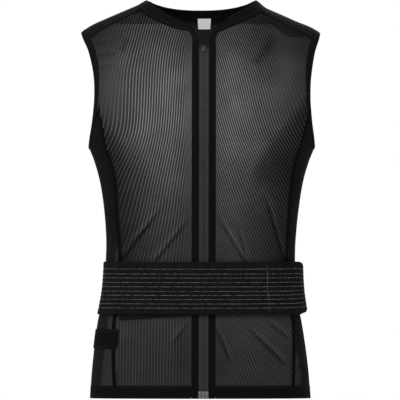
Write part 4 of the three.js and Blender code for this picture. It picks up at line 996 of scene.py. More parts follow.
def front_panel(hand):
    widest = panel_widest(hand, FRONT)
    share = even(FINE["columns"])

    def across(z, tuck=0.0):
        edge = np.minimum(panel_edge(z, hand, FRONT), widest)
        return mix(zip_side(z, hand) - tuck, edge + tuck * RIM_TUCK / TUCK, share)

    top = column_top(across, FRONT, hand) + TUCK
    z = mix(PANEL_BOTTOM - TUCK, top, even(FINE["rows"])[:, None])
    return seen_from(FRONT, hand * across(z, TUCK), z)


def back_panel_points():
    widest = panel_widest(LEFT, BACK)
    share = even(FINE["columns"] * 2, -1)

    def across(z, tuck=0.0):
        return share * (np.minimum(panel_edge(z, LEFT, BACK), widest) + tuck * RIM_TUCK / TUCK)

    top = column_top(lambda z: np.abs(across(z)), BACK, LEFT) + TUCK
    z = mix(PANEL_BOTTOM - TUCK, top, even(FINE["rows"])[:, None])
    return seen_from(BACK, across(z, TUCK), z)


panels = {}
for hand, name in HAND_NAMES.items():
    panels[hand] = front_panel(hand)
    piece = wall("front_mesh_" + name, panels[hand], MESH_INNER, MESH_OUTER,
                 mesh_ground.material)
    mark(piece, "fold_shading", fold_shading)
    dress(piece, "rib_mesh", "front_mesh_" + name)
    cloth(piece, panels[hand], "stretched")
back_points = back_panel_points()
back = wall("back_panel", back_points, MESH_INNER, MESH_OUTER, mesh_ground.material)
# The inner face of the back is marked, so that its finish paints shade on it.
mark(back, "inside", lambda x, z: np.arange(len(x)) >= len(x) // 2)  # the inner layer comes second
dress(back, "rib_mesh", "back_panel")
cloth(back, back_points, "stretched")

# %% [markdown]
# The ribs don't run straight down. The cloth is pulled towards the armholes, the waist and the
# belt, so each rib leans a little outwards, by an amount that changes over the panel. Two tables
# give that lean at four distances from the zip. Each rib starts at chest height, one pitch from
# its neighbour, and follows the lean up and down, as a stream line follows a current. The cloth is
# stretched most at the armholes, so the ribs lie further apart there.

# %% How the ribs lean
LEAN_PLACES = (30, 90, 136, 165)  # distance from the zip
LEAN = {
    RIGHT: dict(
        down=[41, 58, 75, 96, 116, 137, 162, 188, 214, 239, 265, 291, 316, 342, 380, 426, 500,
              546, 680],
        near=[0.4, 0.4, 0.25, 0.13, 0.08, 0.07, 0.07, 0.06, 0.1, 0.13, 0.14, 0.15, 0.13, 0.11,
              0.09, 0.09, 0.05, 0.02, 0.02],
        half=[0.26, 0.25, 0.23, 0.16, 0.1, 0.05, 0.04, 0.06, 0.12, 0.22, 0.27, 0.24, 0.2, 0.19,
              0.23, 0.24, 0.08, 0.02, 0.02],
        outer=[0.31, 0.29, 0.29, 0.27, 0.18, 0.06, 0.03, 0.04, 0.16, 0.42, 0.52, 0.45, 0.36, 0.28,
               0.3, 0.34, 0.08, 0.02, 0.02],
        edge=[0.3, 0.36, 0.36, 0.32, 0.27, 0.23, 0.18, 0.1, 0.24, 0.52, 0.6, 0.5, 0.4, 0.3, 0.3,
              0.34, 0.08, 0.02, 0.02],
    ),
    LEFT: dict(
        down=[41, 58, 75, 96, 116, 137, 162, 188, 214, 239, 265, 291, 316, 342, 380, 426, 546,
              648],
        near=[0.47, 0.46, 0.42, 0.33, 0.3, 0.25, 0.25, 0.27, 0.31, 0.32, 0.31, 0.31, 0.32, 0.34,
              0.35, 0.36, 0.36, 0.3],
        half=[0.47, 0.42, 0.4, 0.36, 0.33, 0.27, 0.24, 0.26, 0.32, 0.42, 0.46, 0.43, 0.42, 0.4,
              0.45, 0.48, 0.45, 0.35],
        outer=[0.5, 0.47, 0.47, 0.44, 0.42, 0.38, 0.33, 0.32, 0.46, 0.6, 0.68, 0.62, 0.55, 0.5,
               0.5, 0.5, 0.4, 0.35],
        edge=[0.6, 0.6, 0.6, 0.52, 0.55, 0.5, 0.4, 0.36, 0.5, 0.64, 0.7, 0.6, 0.5, 0.5, 0.5, 0.5,
              0.3, 0.35],
    ),
}
# Distance from the zip, and how far apart the ribs are there at chest height.
RIB_PITCH = {
    RIGHT: ([-30, 60, 90, 112, 136, 160, 200], [4.2, 4.2, 4.6, 5.1, 6.0, 7.2, 8.0]),
    LEFT: ([-30, 50, 73, 97, 121, 145, 200], [3.9, 3.9, 4.05, 4.3, 5.0, 6.4, 8.0]),
}
# Above the belt and below it: where the ribs are counted, their pitch where it is even, and how
# far they go.
RIB_RUNS = {
    RIGHT: [(170, None, 20, 470), (546, 5.3, 520, BODY_LENGTH)],
    LEFT: [(170, None, 20, 470), (546, 4.7, 520, BODY_LENGTH)],
}
RIB_STEP, RIB_RADIUS, RIB_LIFT = 4, 1.05, 0.2


def lean_at(hand, across, down):
    columns = [float(read(LEAN[hand], name, down)) for name in ("near", "half", "outer", "edge")]
    return np.interp(across, LEAN_PLACES, columns)


def rib_starts(hand, pitch):
    """Where each rib crosses the height at which they are counted."""
    if pitch:
        return np.arange(-220, 340, pitch)
    places = [-220.0]
    while places[-1] < 340:
        places.append(places[-1] + float(np.interp(places[-1], *RIB_PITCH[hand])))
    return np.array(places)


def rib_lines(hand, run):
    """Distance from the zip of every rib at every height, as rows of heights."""
    counted, pitch, high, low = run
    start = rib_starts(hand, pitch)
    halves = []
    for down in (np.arange(counted, low, RIB_STEP), np.arange(counted, high, -RIB_STEP)):
        across, rows = start.copy(), []
        for d in down:
            rows.append(across.copy())
            across = across + lean_at(hand, across, d) * np.sign(down[1] - down[0]) * RIB_STEP
        halves.append((down, np.array(rows)))
    (down, lower), (up, upper) = halves
    return np.concatenate([upper[:0:-1], lower]), -np.concatenate([up[:0:-1], down])


def clipped(across, z, margin, lift_to):
    """The stretches of each line that lie on the cloth, ended exactly at its edges."""
    inside = margin(across, z[:, None] + 0 * across)
    paths = []
    for k in range(across.shape[1]):
        path = []
        for j in range(len(z)):
            here, before = inside[j, k], inside[j - 1, k] if j else -1.0
            if j and (here > 0) != (before > 0):
                share = before / (before - here)
                path.append((mix(across[j - 1, k], across[j, k], share),
                             mix(z[j - 1], z[j], share)))
                if here <= 0:
                    paths.append(path)
                    path = []
            if here > 0:
                path.append((across[j, k], z[j]))
        paths.append(path)
    return [lift_to(np.array(path)) for path in paths if len(path) > 3]


def raised_front(place, lift, side=FRONT):
    """A path on the body form, given across and up, lifted off along the surface's normal."""
    x, z = place[:, 0], place[:, 1]
    d = 0.4  # half of the step for the slopes
    here = seen_from(side, x, z)
    along = seen_from(side, x + d, z) - seen_from(side, x - d, z)
    up = seen_from(side, x, z + d) - seen_from(side, x, z - d)
    normal = np.cross(along, up) * side
    return here + normal / np.linalg.norm(normal, axis=-1, keepdims=True) * lift


print("the ribs lean by", LEAN[LEFT]["outer"], "on the left side")

# %% Ribs of the front
SEAM_TAPE = {RIGHT: 6.0, LEFT: 4.6}  # the strip over the side seam laps onto both panels
RIB_MARGIN, RIB_TOP_GAP, RIB_UNDER_RIM = 0.3, 0.8, 2.6


def front_ribs(hand):
    widest = panel_widest(hand, FRONT)

    def margin(distance, z):
        x = distance + hand * zip_middle(z)
        edge = np.minimum(panel_edge(z, hand, FRONT), widest)
        lap = np.where(z < RIM_BOTTOM, SEAM_TAPE[hand] / 2, -RIB_UNDER_RIM)
        sides = np.minimum(x - zip_side(z, hand), edge - x - lap)
        capped = np.clip(x, 0, widest)
        top = panel_top(capped, FRONT, hand) - z - RIB_TOP_GAP
        return np.minimum(np.minimum(sides, top), z - PANEL_BOTTOM) - RIB_MARGIN

    def lift_to(path):
        x = hand * path[:, 0] + zip_middle(path[:, 1])
        return raised_front(np.stack([x, path[:, 1]], axis=-1), RIB_LIFT)

    paths = []
    for run in RIB_RUNS[hand]:
        across, z = rib_lines(hand, run)
        paths += clipped(across, z, margin, lift_to)
    return paths


for hand, name in HAND_NAMES.items():
    ribs = tubes("front_ribs_" + name, front_ribs(hand), rib_thread, RIB_RADIUS)
    mark(ribs, "fold_shading", fold_shading)
    dress(ribs, "rib_mesh")

# %% Ribs of the back
BACK_PITCH = 4.4


def back_ribs():
    widest = panel_widest(LEFT, BACK)

    def margin(x, z):
        edge = np.minimum(panel_edge(z, LEFT, BACK), widest)
        top = panel_top(np.minimum(np.abs(x), widest), BACK, LEFT)
        inside = np.minimum(np.minimum(edge - np.abs(x), top - z), z - PANEL_BOTTOM)
        return inside - RIB_MARGIN

    z = np.arange(-25, -BODY_LENGTH, -7.0)
    spread = mix(1, 0.93, smooth(-z, 250, 450))
    across = np.arange(-42, 43) * BACK_PITCH * spread[:, None]
    return clipped(across, z, margin, lambda path: raised_front(path, RIB_LIFT, BACK))


dress(tubes("back_ribs", back_ribs(), rib_thread, RIB_RADIUS, 5), "rib_mesh")

# %% [markdown]
# ## The sides
# A side panel runs from the front seam round the side to the back seam, and up to the armhole.
# Seen from the front it is a sliver, so its grid is laid in angles around the body. The seams are
# covered by a narrow piping, a folded strip that stands a little proud and throws a fine shadow.

# %% Side panels and pipings


def height_at_rim(angle_of, like):
    def is_cloth(z):
        angle = angle_of(z)
        side = np.where(np.sin(angle) >= 0, FRONT, BACK)
        depth = np.abs(around(angle, z, folds=False)[..., 1])
        rim = np.where(side == FRONT, rim_depth(z, FRONT), rim_depth(z, BACK))
        return (z <= RIM_BOTTOM) | (depth > np.nan_to_num(rim, nan=1e9))

    good = np.full(np.shape(like), RIM_BOTTOM - 0.01)
    return limit_of(is_cloth, good, good * 0 + mix(-ARMPIT_DROP, -SHOULDER_DROP, 0.6))


def side_points(hand):
    share, shift = even(40), PIPING_WIDTH / 2 + SEAM_GAP - TUCK

    def angle(z):
        return mix(seam_angle(z, hand, FRONT, shift), seam_angle(z, hand, BACK, shift), share)

    z = mix(PANEL_BOTTOM - TUCK, height_at_rim(angle, share) + RIM_TUCK, even(110)[:, None])
    return around(angle(z), z)


def piping_points(hand, side):
    shift = mix(-SEAM_TAPE[hand], SEAM_TAPE[hand], even(8)) / 2

    def angle(z):
        return seam_angle(z, hand, side, shift)

    z = mix(PANEL_BOTTOM - TUCK, height_at_rim(angle, shift) + RIM_TUCK, even(150)[:, None])
    return around(angle(z), z)


for hand, name in HAND_NAMES.items():
    points = side_points(hand)
    side = wall("side_panel_" + name, points, MESH_INNER, -MESH_INNER, side_net.material)
    dress(side, "side_mesh", "side_panel_" + name)
    cloth(side, points, "stretched")
    for seam, side in (("front_seam_", FRONT), ("back_seam_", BACK)):
        rise = mix(0.7, 1.3, crown(even(8), 0.0, 2))
        piping = wall(seam + name, piping_points(hand, side), MESH_INNER, rise, seam_cloth.material)
        dress(piping, "binding", seam + name)

# %% [markdown]
# ## Shoulders, neck and armholes
# The yokes join front and back over the shoulders. The neck band is a doubled strip, thicker along
# its middle, and its free edge is rolled. Each armhole is bound with a folded elastic strip.

# %% Yokes
over = PIECE_RIM[PIECE_RIM[:, 1] > mix(-SHOULDER_DROP, -ARMPIT_DROP, 0.3)]
over_sides = np.where(over[:, 0] <= 0, FRONT, BACK)
over_x = np.where(over_sides == FRONT, across_at(over[:, 0], over[:, 1], FRONT),
                  across_at(over[:, 0], over[:, 1], BACK))
over_way = np.where(over_sides == FRONT, way_to(over_x, over[:, 1], FRONT),
                    way_to(over_x, over[:, 1], BACK))
order = np.argsort(over_way)
RIM_WAYS, RIM_ACROSS = over_way[order], over_x[order]


def rim_at_way(way):
    return np.interp(way, RIM_WAYS, RIM_ACROSS)


def yoke_points(hand):
    ends = {}
    for side in (FRONT, BACK):
        ends[side] = float(side * limit_of(
            lambda reach: over_shoulder(rim_at_way(side * reach), side * reach)[..., 2]
            > yoke_seam(rim_at_way(side * reach), side), np.array([0.0]), np.array([QUARTER]))[0])
    share, turn = even(36), even(48, 1, -1)[:, None]
    rows = []
    for side in (FRONT, BACK):
        x = mix(corner_across(side) + SEAM_GAP, rim_at_way(ends[side]), share)
        rows.append(way_to(x, yoke_seam(x, side), side))
    seam_way = np.where(turn >= 0, rows[0], rows[1])
    edge = rim_at_way(np.abs(turn) * np.where(turn >= 0, ends[FRONT], ends[BACK]))
    neck = read(STATIONS, "seam", SHOULDER_STATION - turn * CORNER_STEP) + CURVED_GAP
    return over_shoulder(hand * mix(neck - TUCK, edge + RIM_TUCK, share), np.abs(turn) * seam_way)


for hand, name in HAND_NAMES.items():
    points = yoke_points(hand)
    rise = mix(0.5, 1.0, crown(even(48), 0, 8))[:, None]
    yoke = wall("shoulder_yoke_" + name, points, -0.8, rise, smooth_cloth.material)
    dress(yoke, "smooth_cloth", "shoulder_yoke_" + name)
    cloth(yoke, points, "stretched")

# %% Neck band
steps_along = even(LAST_STATION * 16, -LAST_STATION, LAST_STATION)
hands_along = np.where(steps_along < 0, RIGHT, LEFT)
band_rows = rounded(10)
places = [neck_place(LAST_STATION - np.abs(steps_along), share, hands_along) for share in band_rows]
neck_points = np.array([over_shoulder(across, way) for across, way in places])
rolled = mix(0.5, 1.35, crown(band_rows, 0, 4))[:, None]
neck = wall("neck_band", neck_points, -rolled, rolled, neck_cloth.material)
dress(neck, "smooth_cloth", "neck_band")
cloth(neck, neck_points, "stretched")

# %% Armhole bindings
BINDING_SEEN = 6.6  # seen from the side


def binding_points(hand):
    rims = [armhole_rim(share * BINDING_SEEN) for share in rounded(8)]
    base = np.concatenate([rims[0], rims[0][:1]])
    length = np.concatenate([[0], np.cumsum(np.linalg.norm(np.diff(base, axis=0), axis=-1))])
    at = even(200)[:-1] * length[-1]
    rows = []
    for rim in rims:
        rim = np.concatenate([rim, rim[:1]])
        y, z = (np.interp(at, length, rim[:, column]) for column in (0, 1))
        x = np.where(y <= 0, across_at(y, z, FRONT), across_at(y, z, BACK))
        folded = y - np.where(y <= 0, fold_rise(hand * x, z), 0)
        rows.append(np.stack([hand * x, folded, z], axis=-1))
    return np.array(rows)


for hand, name in HAND_NAMES.items():
    points = binding_points(hand)
    rise = mix(0.9, 1.7, crown(rounded(8), 0, 4))[:, None]
    binding = wall("armhole_binding_" + name, points, -1.2, rise, binding_cloth.material, loop=True)
    dress(binding, "binding", "armhole_binding_" + name)
    print("binding", name, "is", round(float(lengths(points, 1)[0, -1])), "mm round")

# %% Dark cords in the seams of the yokes and the neck band
CORD_RADIUS, CORD_LIFT = 0.9, 0.35


def seam_cords():
    paths = []
    for hand in (RIGHT, LEFT):
        for side in (FRONT, BACK):
            x = even(60, corner_across(side) - 1, panel_widest(hand, side) + RIM_TUCK / 2)
            place = np.stack([hand * x, yoke_seam(x, side) - 0.3], axis=-1)
            paths.append(raised_front(place, CORD_LIFT, side))
    at = even(400, -LAST_STATION + 0.1, LAST_STATION - 0.1)
    hands = np.where(at < 0, RIGHT, LEFT)
    line, above = (over_shoulder(*neck_place(LAST_STATION - np.abs(at), share, hands))
                   for share in (-0.04, 0.1))
    paths.append(line + grid_normals(np.array([line, above]))[0] * CORD_LIFT)
    return paths


dress(tubes("seam_cords", seam_cords(), seam_cloth, CORD_RADIUS, 8), "binding")

# %% [markdown]
# ## The zip
# Two woven tapes lie between two bands of folded cloth. They spread above the slider, where the
# vest's neck is open. The coil hides behind the tapes, as in a reversed zip, and only the thick
# edges of the tapes meet in front.

# %% Bands, tapes and coil
ZIP_TOP_DROP = NECK_BAND["seam_down"][0] * NECK_FRONT_DROP + SEAM_GAP
ZIP_CLOSED_DROP, ZIP_OPEN_HALF, ZIP_SLIT = 86, 4.6, 0.7


def zip_strip(hand, near, far, bottom, top, columns, rows=200):
    z = mix(bottom, top, 1 - (1 - even(rows)) ** 1.5)[:, None]
    x = zip_middle(z) + hand * mix(near(z), far, columns)
    return seen_from(FRONT, x, z + 0 * x)


def tape_edge(z):
    return mix(ZIP_SLIT / 2, ZIP_OPEN_HALF, smooth(z, -ZIP_CLOSED_DROP, -ZIP_TOP_DROP))


for hand, name in HAND_NAMES.items():
    near, far = ZIP_HALF + SEAM_GAP, ZIP_HALF + SEAM_GAP + ZIP_BAND_WIDTH
    across = rounded(12)
    points = zip_strip(hand, lambda z: near, far, -BODY_LENGTH, -ZIP_TOP_DROP, across)
    folded = mix(0.4, 1.2, crown(across, 0, 4))
    band = wall("zip_band_" + name, points, -0.8, folded, hem_cloth.material)
    dress(band, "smooth_cloth", "zip_band_" + name)
    cloth(band, points, "stretched")
    across = even(16)
    points = zip_strip(hand, tape_edge, ZIP_HALF, -BODY_LENGTH, -ZIP_TOP_DROP, across)
    edge_bead = 0.45 + 0.5 * np.exp(-((across - 0.06) / 0.09) ** 2) + 0.12 * np.cos(across * 22)
    tape = wall("zip_tape_" + name, points, -0.5, edge_bead, tape_weave.material)
    dress(tape, "zip_tape", "zip_tape_" + name)

coil_path = zip_strip(LEFT, lambda z: 0.0, 0.0, -BODY_LENGTH + 14, -ZIP_CLOSED_DROP, even(1))[:, 0]
coil_path[:, 1] += 2.0
coil = beads("zip_coil", [coil_path + [side * 1.0, 0, 0] for side in (-1, 1)], zip_plastic,
             pitch=1.5, length=1.1, thickness=2.2)
dress(coil, "zip_plastic", "zip_coil")

# %% [markdown]
# The slider and the end box are hard parts. They are drawn as outlines with rounded corners, raised
# in steps that narrow towards the top, like a moulding that leaves its tool, and joined on a plate
# that rests on the zip's front.

# %% Moulded parts


def outline(width, length, corner, inset, count=8):
    half_x, half_y = width / 2 - inset, length / 2 - inset
    radius = max(corner - inset, 0.2)
    points = []
    for k, (sx, sy) in enumerate(((1, 1), (-1, 1), (-1, -1), (1, -1))):
        for turn in even(count, k * math.pi / 2, (k + 1) * math.pi / 2):
            points.append((sx * (half_x - radius) + radius * math.cos(turn),
                           sy * (half_y - radius) + radius * math.sin(turn)))
    return points


def moulding(width, length, corner, profile, at=(0, 0, 0), bend=0.0):
    """Vertices and faces of a closed form. Its profile lists heights and insets, bottom first."""
    vertices, faces = [], []
    for height, inset in profile:
        for x, y in outline(width, length, corner, inset):
            arched = height - bend * y * y
            vertices.append((x + at[0], y + at[1], arched + at[2]))
    around_count = len(outline(width, length, corner, 0))
    for level in range(len(profile) - 1):
        for k in range(around_count):
            a, b = level * around_count + k, level * around_count + (k + 1) % around_count
            faces.append((a, b, b + around_count, a + around_count))
    faces.append(tuple(range(around_count))[::-1])
    faces.append(tuple(range((len(profile) - 1) * around_count, len(profile) * around_count)))
    return vertices, faces


def ring(radius, wire, at, stretch=1.0, turns=40, sides=12):
    vertices, faces = [], []
    for i in range(turns):
        angle = 2 * math.pi * i / turns
        for j in range(sides):
            tilt = 2 * math.pi * j / sides
            reach = radius + wire * math.cos(tilt)
            vertices.append((reach * math.cos(angle) + at[0],
                             reach * stretch * math.sin(angle) + at[1],
                             wire * math.sin(tilt) + at[2]))
    for i in range(turns):
        for j in range(sides):
            a, b = i * sides + j, i * sides + (j + 1) % sides
            c, d = (i + 1) % turns * sides + j, (i + 1) % turns * sides + (j + 1) % sides
            faces.append((a, c, d, b))
    return vertices, faces


def on_front(name, parts, z, lift, look):
    """Joins closed forms and sets them on the front at the zip's middle."""
    x = zip_middle(np.array([z]))
    place, further = (raised_front(np.array([[x[0], z]]), h) for h in (lift, lift + 1))
    out = (further - place)[0]
    out /= np.linalg.norm(out)
    across = np.cross([0, 0, 1], out)
    across /= np.linalg.norm(across)
    frame_axes = np.array([across, np.cross(out, across), out])
    vertices, faces = [], []
    for part_vertices, part_faces in parts:
        faces += [tuple(index + len(vertices) for index in face) for face in part_faces]
        vertices += part_vertices
    points = stance(np.array(vertices) @ frame_axes + place[0]) * MM
    mesh = bpy.data.meshes.new(name)
    mesh.from_pydata(points.tolist(), [], faces)
    mesh.materials.append(look.material)
    mesh.shade_smooth()
    mesh.set_sharp_from_angle(angle=math.radians(40))
    return placed(name, mesh)


base = moulding(8.5, 11, 2.6, [(0, 0.4), (0.3, 0), (1.3, 0), (1.8, 0.35), (2.0, 0.9)])
bridge = moulding(3.2, 7.6, 1.5, [(1.7, 0), (2.6, 0.1), (3.1, 0.5), (3.3, 1.0)], bend=0.03)
flanges = [moulding(1.1, 9, 0.5, [(1.6, 0), (2.3, 0.1), (2.5, 0.3)], at=(side * 3.4, 0, 0))
           for side in (-1, 1)]
slider = on_front("zip_slider", [base, bridge, *flanges], 1.6 - ZIP_CLOSED_DROP, 1.1, zip_plastic)
dress(slider, "zip_plastic", "zip_slider")

plate = moulding(18, 13, 1.5, [(0, 0.3), (0.3, 0), (1.0, 0), (1.4, 0.4)])
lobes = [moulding(4.7, 11.7, 1.9, [(0.8, 0), (2.0, 0), (2.8, 0.4), (3.2, 1.0), (3.35, 1.6)],
                  at=(side * 6.1, 0, 0)) for side in (-1, 1)]
pin = moulding(3.6, 12, 1.2, [(0.8, 0), (1.8, 0.1), (2.2, 0.5)])
eye = ring(2.7, 0.8, (0, -1.3, 2.3), stretch=1.15)
end_box = on_front("zip_end_box", [plate, *lobes, pin, eye], 6.5 - BODY_LENGTH, 1.5, zip_metal)
dress(end_box, "zip_metal", "zip_end_box")

# %% [markdown]
# ## The hem
# The hem is a doubled band around the bottom, sewn with two rows of stitches.

# %% Hem band


def zip_angle(hand, z):
    x = zip_middle(z) + hand * (ZIP_HALF + ZIP_BAND_WIDTH + 2 * SEAM_GAP)
    return angle_at(hand * x / body_half(z), hand, FRONT)


hem_rows = rounded(10)
z = mix(-BODY_LENGTH, HEM_TOP, hem_rows)[:, None]
turn = mix(zip_angle(LEFT, z), zip_angle(RIGHT, z) - 2 * math.pi, even(300))
hem_points = around(turn, z + 0 * turn)
doubled = mix(0.7, 1.0, crown(hem_rows, 0, 6))[:, None]
hem = wall("hem_band", hem_points, -doubled, doubled, hem_cloth.material)
dress(hem, "smooth_cloth", "hem_band")
cloth(hem, hem_points, "stretched")

# %% [markdown]
# ## The kidney belt
# Elastic webbing is woven over rubber strands, so its face is a row of soft rolls with light
# threads between them. The rolls are relief in the grid, because they catch the light along the
# belt's whole length, and the threads are fine tubes on the rolls, broken into dashes.

# %% Belt pieces
BELT_WALL, BELT_CLEARANCE, LAYER_GAP = 2.6, 1.8, 0.6
BELT_UNDER_END, BELT_UNDER_SAG, BELT_END_LIFT = 129, 8.5, 7
BELT_END_ANGLE, BELT_END_EASE, BELT_STEP = 0.07, 0.6, (0.03, 0.25)
BELT_CORNER, BELT_START = 6, 12
BELT_MIDDLE = -BELT_DROP - BELT_HEIGHT / 2
BELT_HALF = float(body_half(np.array(BELT_MIDDLE)))
BELT_SEAM = {hand: float(seam_angle(np.array(BELT_MIDDLE), hand, BACK)) for hand in (RIGHT, LEFT)}
UNDER_END = float(angle_at(BELT_UNDER_END / BELT_HALF, RIGHT, FRONT))
BELT_LINES = [1 - down / BELT_HEIGHT for down in
              (12.3, 20.7, 27.7, 35.4, 42.8, 50.6, 57.5, 64.5, 72.2, 79.5)]


def belt_piece(start, end, count, lift, sag, corner=0.0):
    """Points of a belt piece, its lift off the body form, and its rows as shares of its height."""
    length = abs(end - start) * BELT_HALF
    rows = even(90)
    share = even(count)
    if corner:
        share = np.sort(np.concatenate([share, 1 - even(8, 0.02, 0.9) * corner / length]))
    angle = mix(start, end, share)
    seen_left = BELT_HALF * np.abs(power(np.cos(end)) - power(np.cos(angle)))
    left = np.where(share > 0.5, np.minimum(seen_left, corner), corner)
    trim = corner - np.sqrt(np.maximum(corner**2 - (corner - left) ** 2, 0))
    z = mix(-BELT_DROP - BELT_HEIGHT + trim, -BELT_DROP - trim, rows[:, None]) - sag(angle)
    return around(angle + 0 * z, z, folds=False), BELT_CLEARANCE + lift(angle), rows


def rolls(rows):
    """Relief of the webbing: a dip at each line, and plain flat borders."""
    dips = sum(np.exp(-(((rows - line) * BELT_HEIGHT) / 1.3) ** 2) for line in BELT_LINES)
    border = smooth(np.minimum(rows, 1 - rows), 0, 0.02)
    return -0.55 * dips - 0.8 * (1 - border)


def no_sag(angle):
    return 0 * angle


def under_sag(angle):
    x = -BELT_HALF * power(np.cos(angle))
    return BELT_UNDER_SAG * np.clip((x + BELT_START) / (BELT_UNDER_END + BELT_START), 0, 1)


def over_lift(angle):
    stepped = 1 - smooth(angle, UNDER_END + BELT_STEP[0], UNDER_END + BELT_STEP[1])
    off = smooth(-angle, -BELT_END_ANGLE - BELT_END_EASE, -BELT_END_ANGLE)
    return (BELT_WALL + LAYER_GAP + SEAM_GAP) * stepped + BELT_END_LIFT * off


PAD_THICKNESS, PAD_GAP = 14, 1.0


def back_lift(angle):
    x = BELT_HALF * np.abs(np.cos(angle)) ** (2 / SQUARENESS)
    seam = BELT_HALF * math.cos(BELT_SEAM[LEFT]) ** (2 / SQUARENESS)
    return (PAD_THICKNESS + PAD_GAP) * smooth(-x, -seam * 0.98, -seam * 0.66)


gap_angle = SEAM_GAP / CHEST_FRONT
belts = dict(
    belt_back=belt_piece(BELT_SEAM[LEFT] - gap_angle, BELT_SEAM[RIGHT] - 2 * math.pi + gap_angle,
                         160, back_lift, no_sag),
    belt_under_wing=belt_piece(BELT_SEAM[LEFT], UNDER_END, 200, no_sag, under_sag),
    belt_over_wing=belt_piece(BELT_SEAM[RIGHT], BELT_END_ANGLE, 240, over_lift, no_sag,
                              BELT_CORNER),
)
for name, (points, lift, rows) in belts.items():
    outer = lift + BELT_WALL + rolls(rows)[:, None]
    piece = wall(name, points, lift, outer, webbing.material)
    dress(piece, "elastic", name)
    cloth(piece, points, "laid", rests_on=["front_mesh_right", "back_panel"])

# %% Light threads and stitches of the belt


def belt_paths(name, lines, above):
    points, lift, rows = belts[name]
    raised = points + grid_normals(points) * (lift + BELT_WALL + above)[None, :, None]
    return [np.stack([np.array([np.interp(line, rows, raised[:, i, axis]) for axis in range(3)])
                      for i in range(points.shape[1])]) for line in lines]


for name in belts:
    paths = belt_paths(name, BELT_LINES, -0.45)
    if name == "belt_over_wing":
        paths = [path[:-6] for path in paths]
    thread = beads(name + "_threads", paths, belt_thread, pitch=3.1, length=2.7, thickness=1.0)
    dress(thread, "elastic")

# %% [markdown]
# ## The back protector
# The real one is a sheet of foam in a cloth cover, thin along its sewn outline, with grooves across
# it so that it bends with the back. A plain wall would look like a board. Cloth with a little air
# pressure swells the cover over the foam, and the grooves and the sewn line are pressed in after.

# %% Outline and foam
PAD_TOP_DROP, PAD_LENGTH, PAD_HALF, PAD_EDGE, PAD_EDGE_BREADTH = 70, 520, 138, 4, 28
PAD_GROOVES, PAD_GROOVE_DEPTH, PAD_GROOVE_WIDTH, PAD_GROOVE_FADE = 6, 4, 10, 20
PAD_PITCH = PAD_LENGTH / (PAD_GROOVES + 1)
PAD_LIFT = MESH_WALL / 2 + PAD_GAP
PAD_OUTLINE = dict(
    down=[0, 0.015, 0.04, 0.08, 0.14, 0.24, 0.45, 0.65, 0.85, 0.92, 0.96, 0.985, 1],
    half=[0.34, 0.52, 0.68, 0.82, 0.94, 1.0, 0.90, 0.76, 0.78, 0.72, 0.62, 0.48, 0.32],
)


def pad_depths(x, z, full):
    """How thick the pad is at a place, and how deep its grooves and its sewn line are."""
    down = np.clip((-z - PAD_TOP_DROP) / PAD_LENGTH, 0, 1)
    half = PAD_HALF * read(PAD_OUTLINE, "half", down)
    along = down * PAD_LENGTH
    to_edge = np.minimum(half - np.abs(x), np.minimum(along, PAD_LENGTH - along))
    thick = mix(PAD_EDGE, full, smooth(to_edge, 0, PAD_EDGE_BREADTH))
    groove = np.clip(np.round(along / PAD_PITCH), 1, PAD_GROOVES) * PAD_PITCH
    cut = np.exp(-(((along - groove) / (PAD_GROOVE_WIDTH / 3)) ** 2))
    pressed = PAD_GROOVE_DEPTH * cut * smooth(to_edge, 4, PAD_GROOVE_FADE)
    sewn = 1.2 * np.exp(-(((to_edge - 7) / 1.6) ** 2))
    return thick, pressed + sewn


def pad_points(columns, rows):
    down = mix(rounded(rows), even(rows), 0.5)[:, None]
    x = even(columns, -1, 1) * PAD_HALF * read(PAD_OUTLINE, "half", down)
    return over_shoulder(x, way_to(x, -PAD_TOP_DROP - down * PAD_LENGTH, BACK))


points = pad_points(60, 110)
foam, _ = pad_depths(points[..., 0], points[..., 2], PAD_THICKNESS - 1.5)
pad = wall("back_protector", points, PAD_LIFT, PAD_LIFT + foam, pad_cloth.material)
print("foam is", round(float(foam.max()), 1), "mm thick before it is covered")

# %% The cover swells under pressure


def swell(piece, voxel, pressure, cap):
    scene = bpy.context.scene
    bpy.context.view_layer.objects.active = piece
    remesh = piece.modifiers.new("even", "REMESH")
    remesh.mode, remesh.voxel_size, remesh.use_smooth_shade = "VOXEL", voxel * MM, True
    bpy.ops.object.modifier_apply(modifier=remesh.name)
    mesh = piece.data
    start = np.empty(len(mesh.vertices) * 3)
    mesh.vertices.foreach_get("co", start)
    cover = piece.modifiers.new("cover", "CLOTH")
    cover.settings.use_pressure = True
    cover.settings.uniform_pressure_force = pressure
    cover.settings.effector_weights.gravity = 0
    cover.settings.quality = 6
    cover.point_cache.frame_start, cover.point_cache.frame_end = 1, 20
    for number in range(1, 21):
        scene.frame_set(number)
    bpy.ops.object.modifier_apply(modifier=cover.name)
    scene.frame_set(1)
    end = np.empty_like(start)
    mesh.vertices.foreach_get("co", end)
    moved = (end - start).reshape(-1, 3)
    reach = np.linalg.norm(moved, axis=1, keepdims=True)
    moved *= np.minimum(1, cap * MM / (reach + 1e-12))
    mesh.vertices.foreach_set("co", (start.reshape(-1, 3) + moved).ravel())
    print("the cover moved by up to", round(float(reach.max()) / MM, 1), "mm and was held at", cap)


def subdivided(piece):
    finer = piece.modifiers.new("finer", "SUBSURF")
    finer.levels = finer.render_levels = 1
    bpy.context.view_layer.objects.active = piece
    bpy.ops.object.modifier_apply(modifier=finer.name)


swell(pad, 5, 4.0, 1.4)
subdivided(pad)
place, x = places_of(pad)
thick, pressed = pad_depths(x, place[:, 2], PAD_THICKNESS)
under = depth_at(x, place[:, 2], BACK) + PAD_LIFT
outer_side = smooth((place[:, 1] - under) / thick, 0.35, 0.8)
place[:, 1] -= pressed * outer_side
pad.data.vertices.foreach_set("co", (place * MM).ravel())
pad.data.update()
dress(pad, "pad_cover", "back_protector")

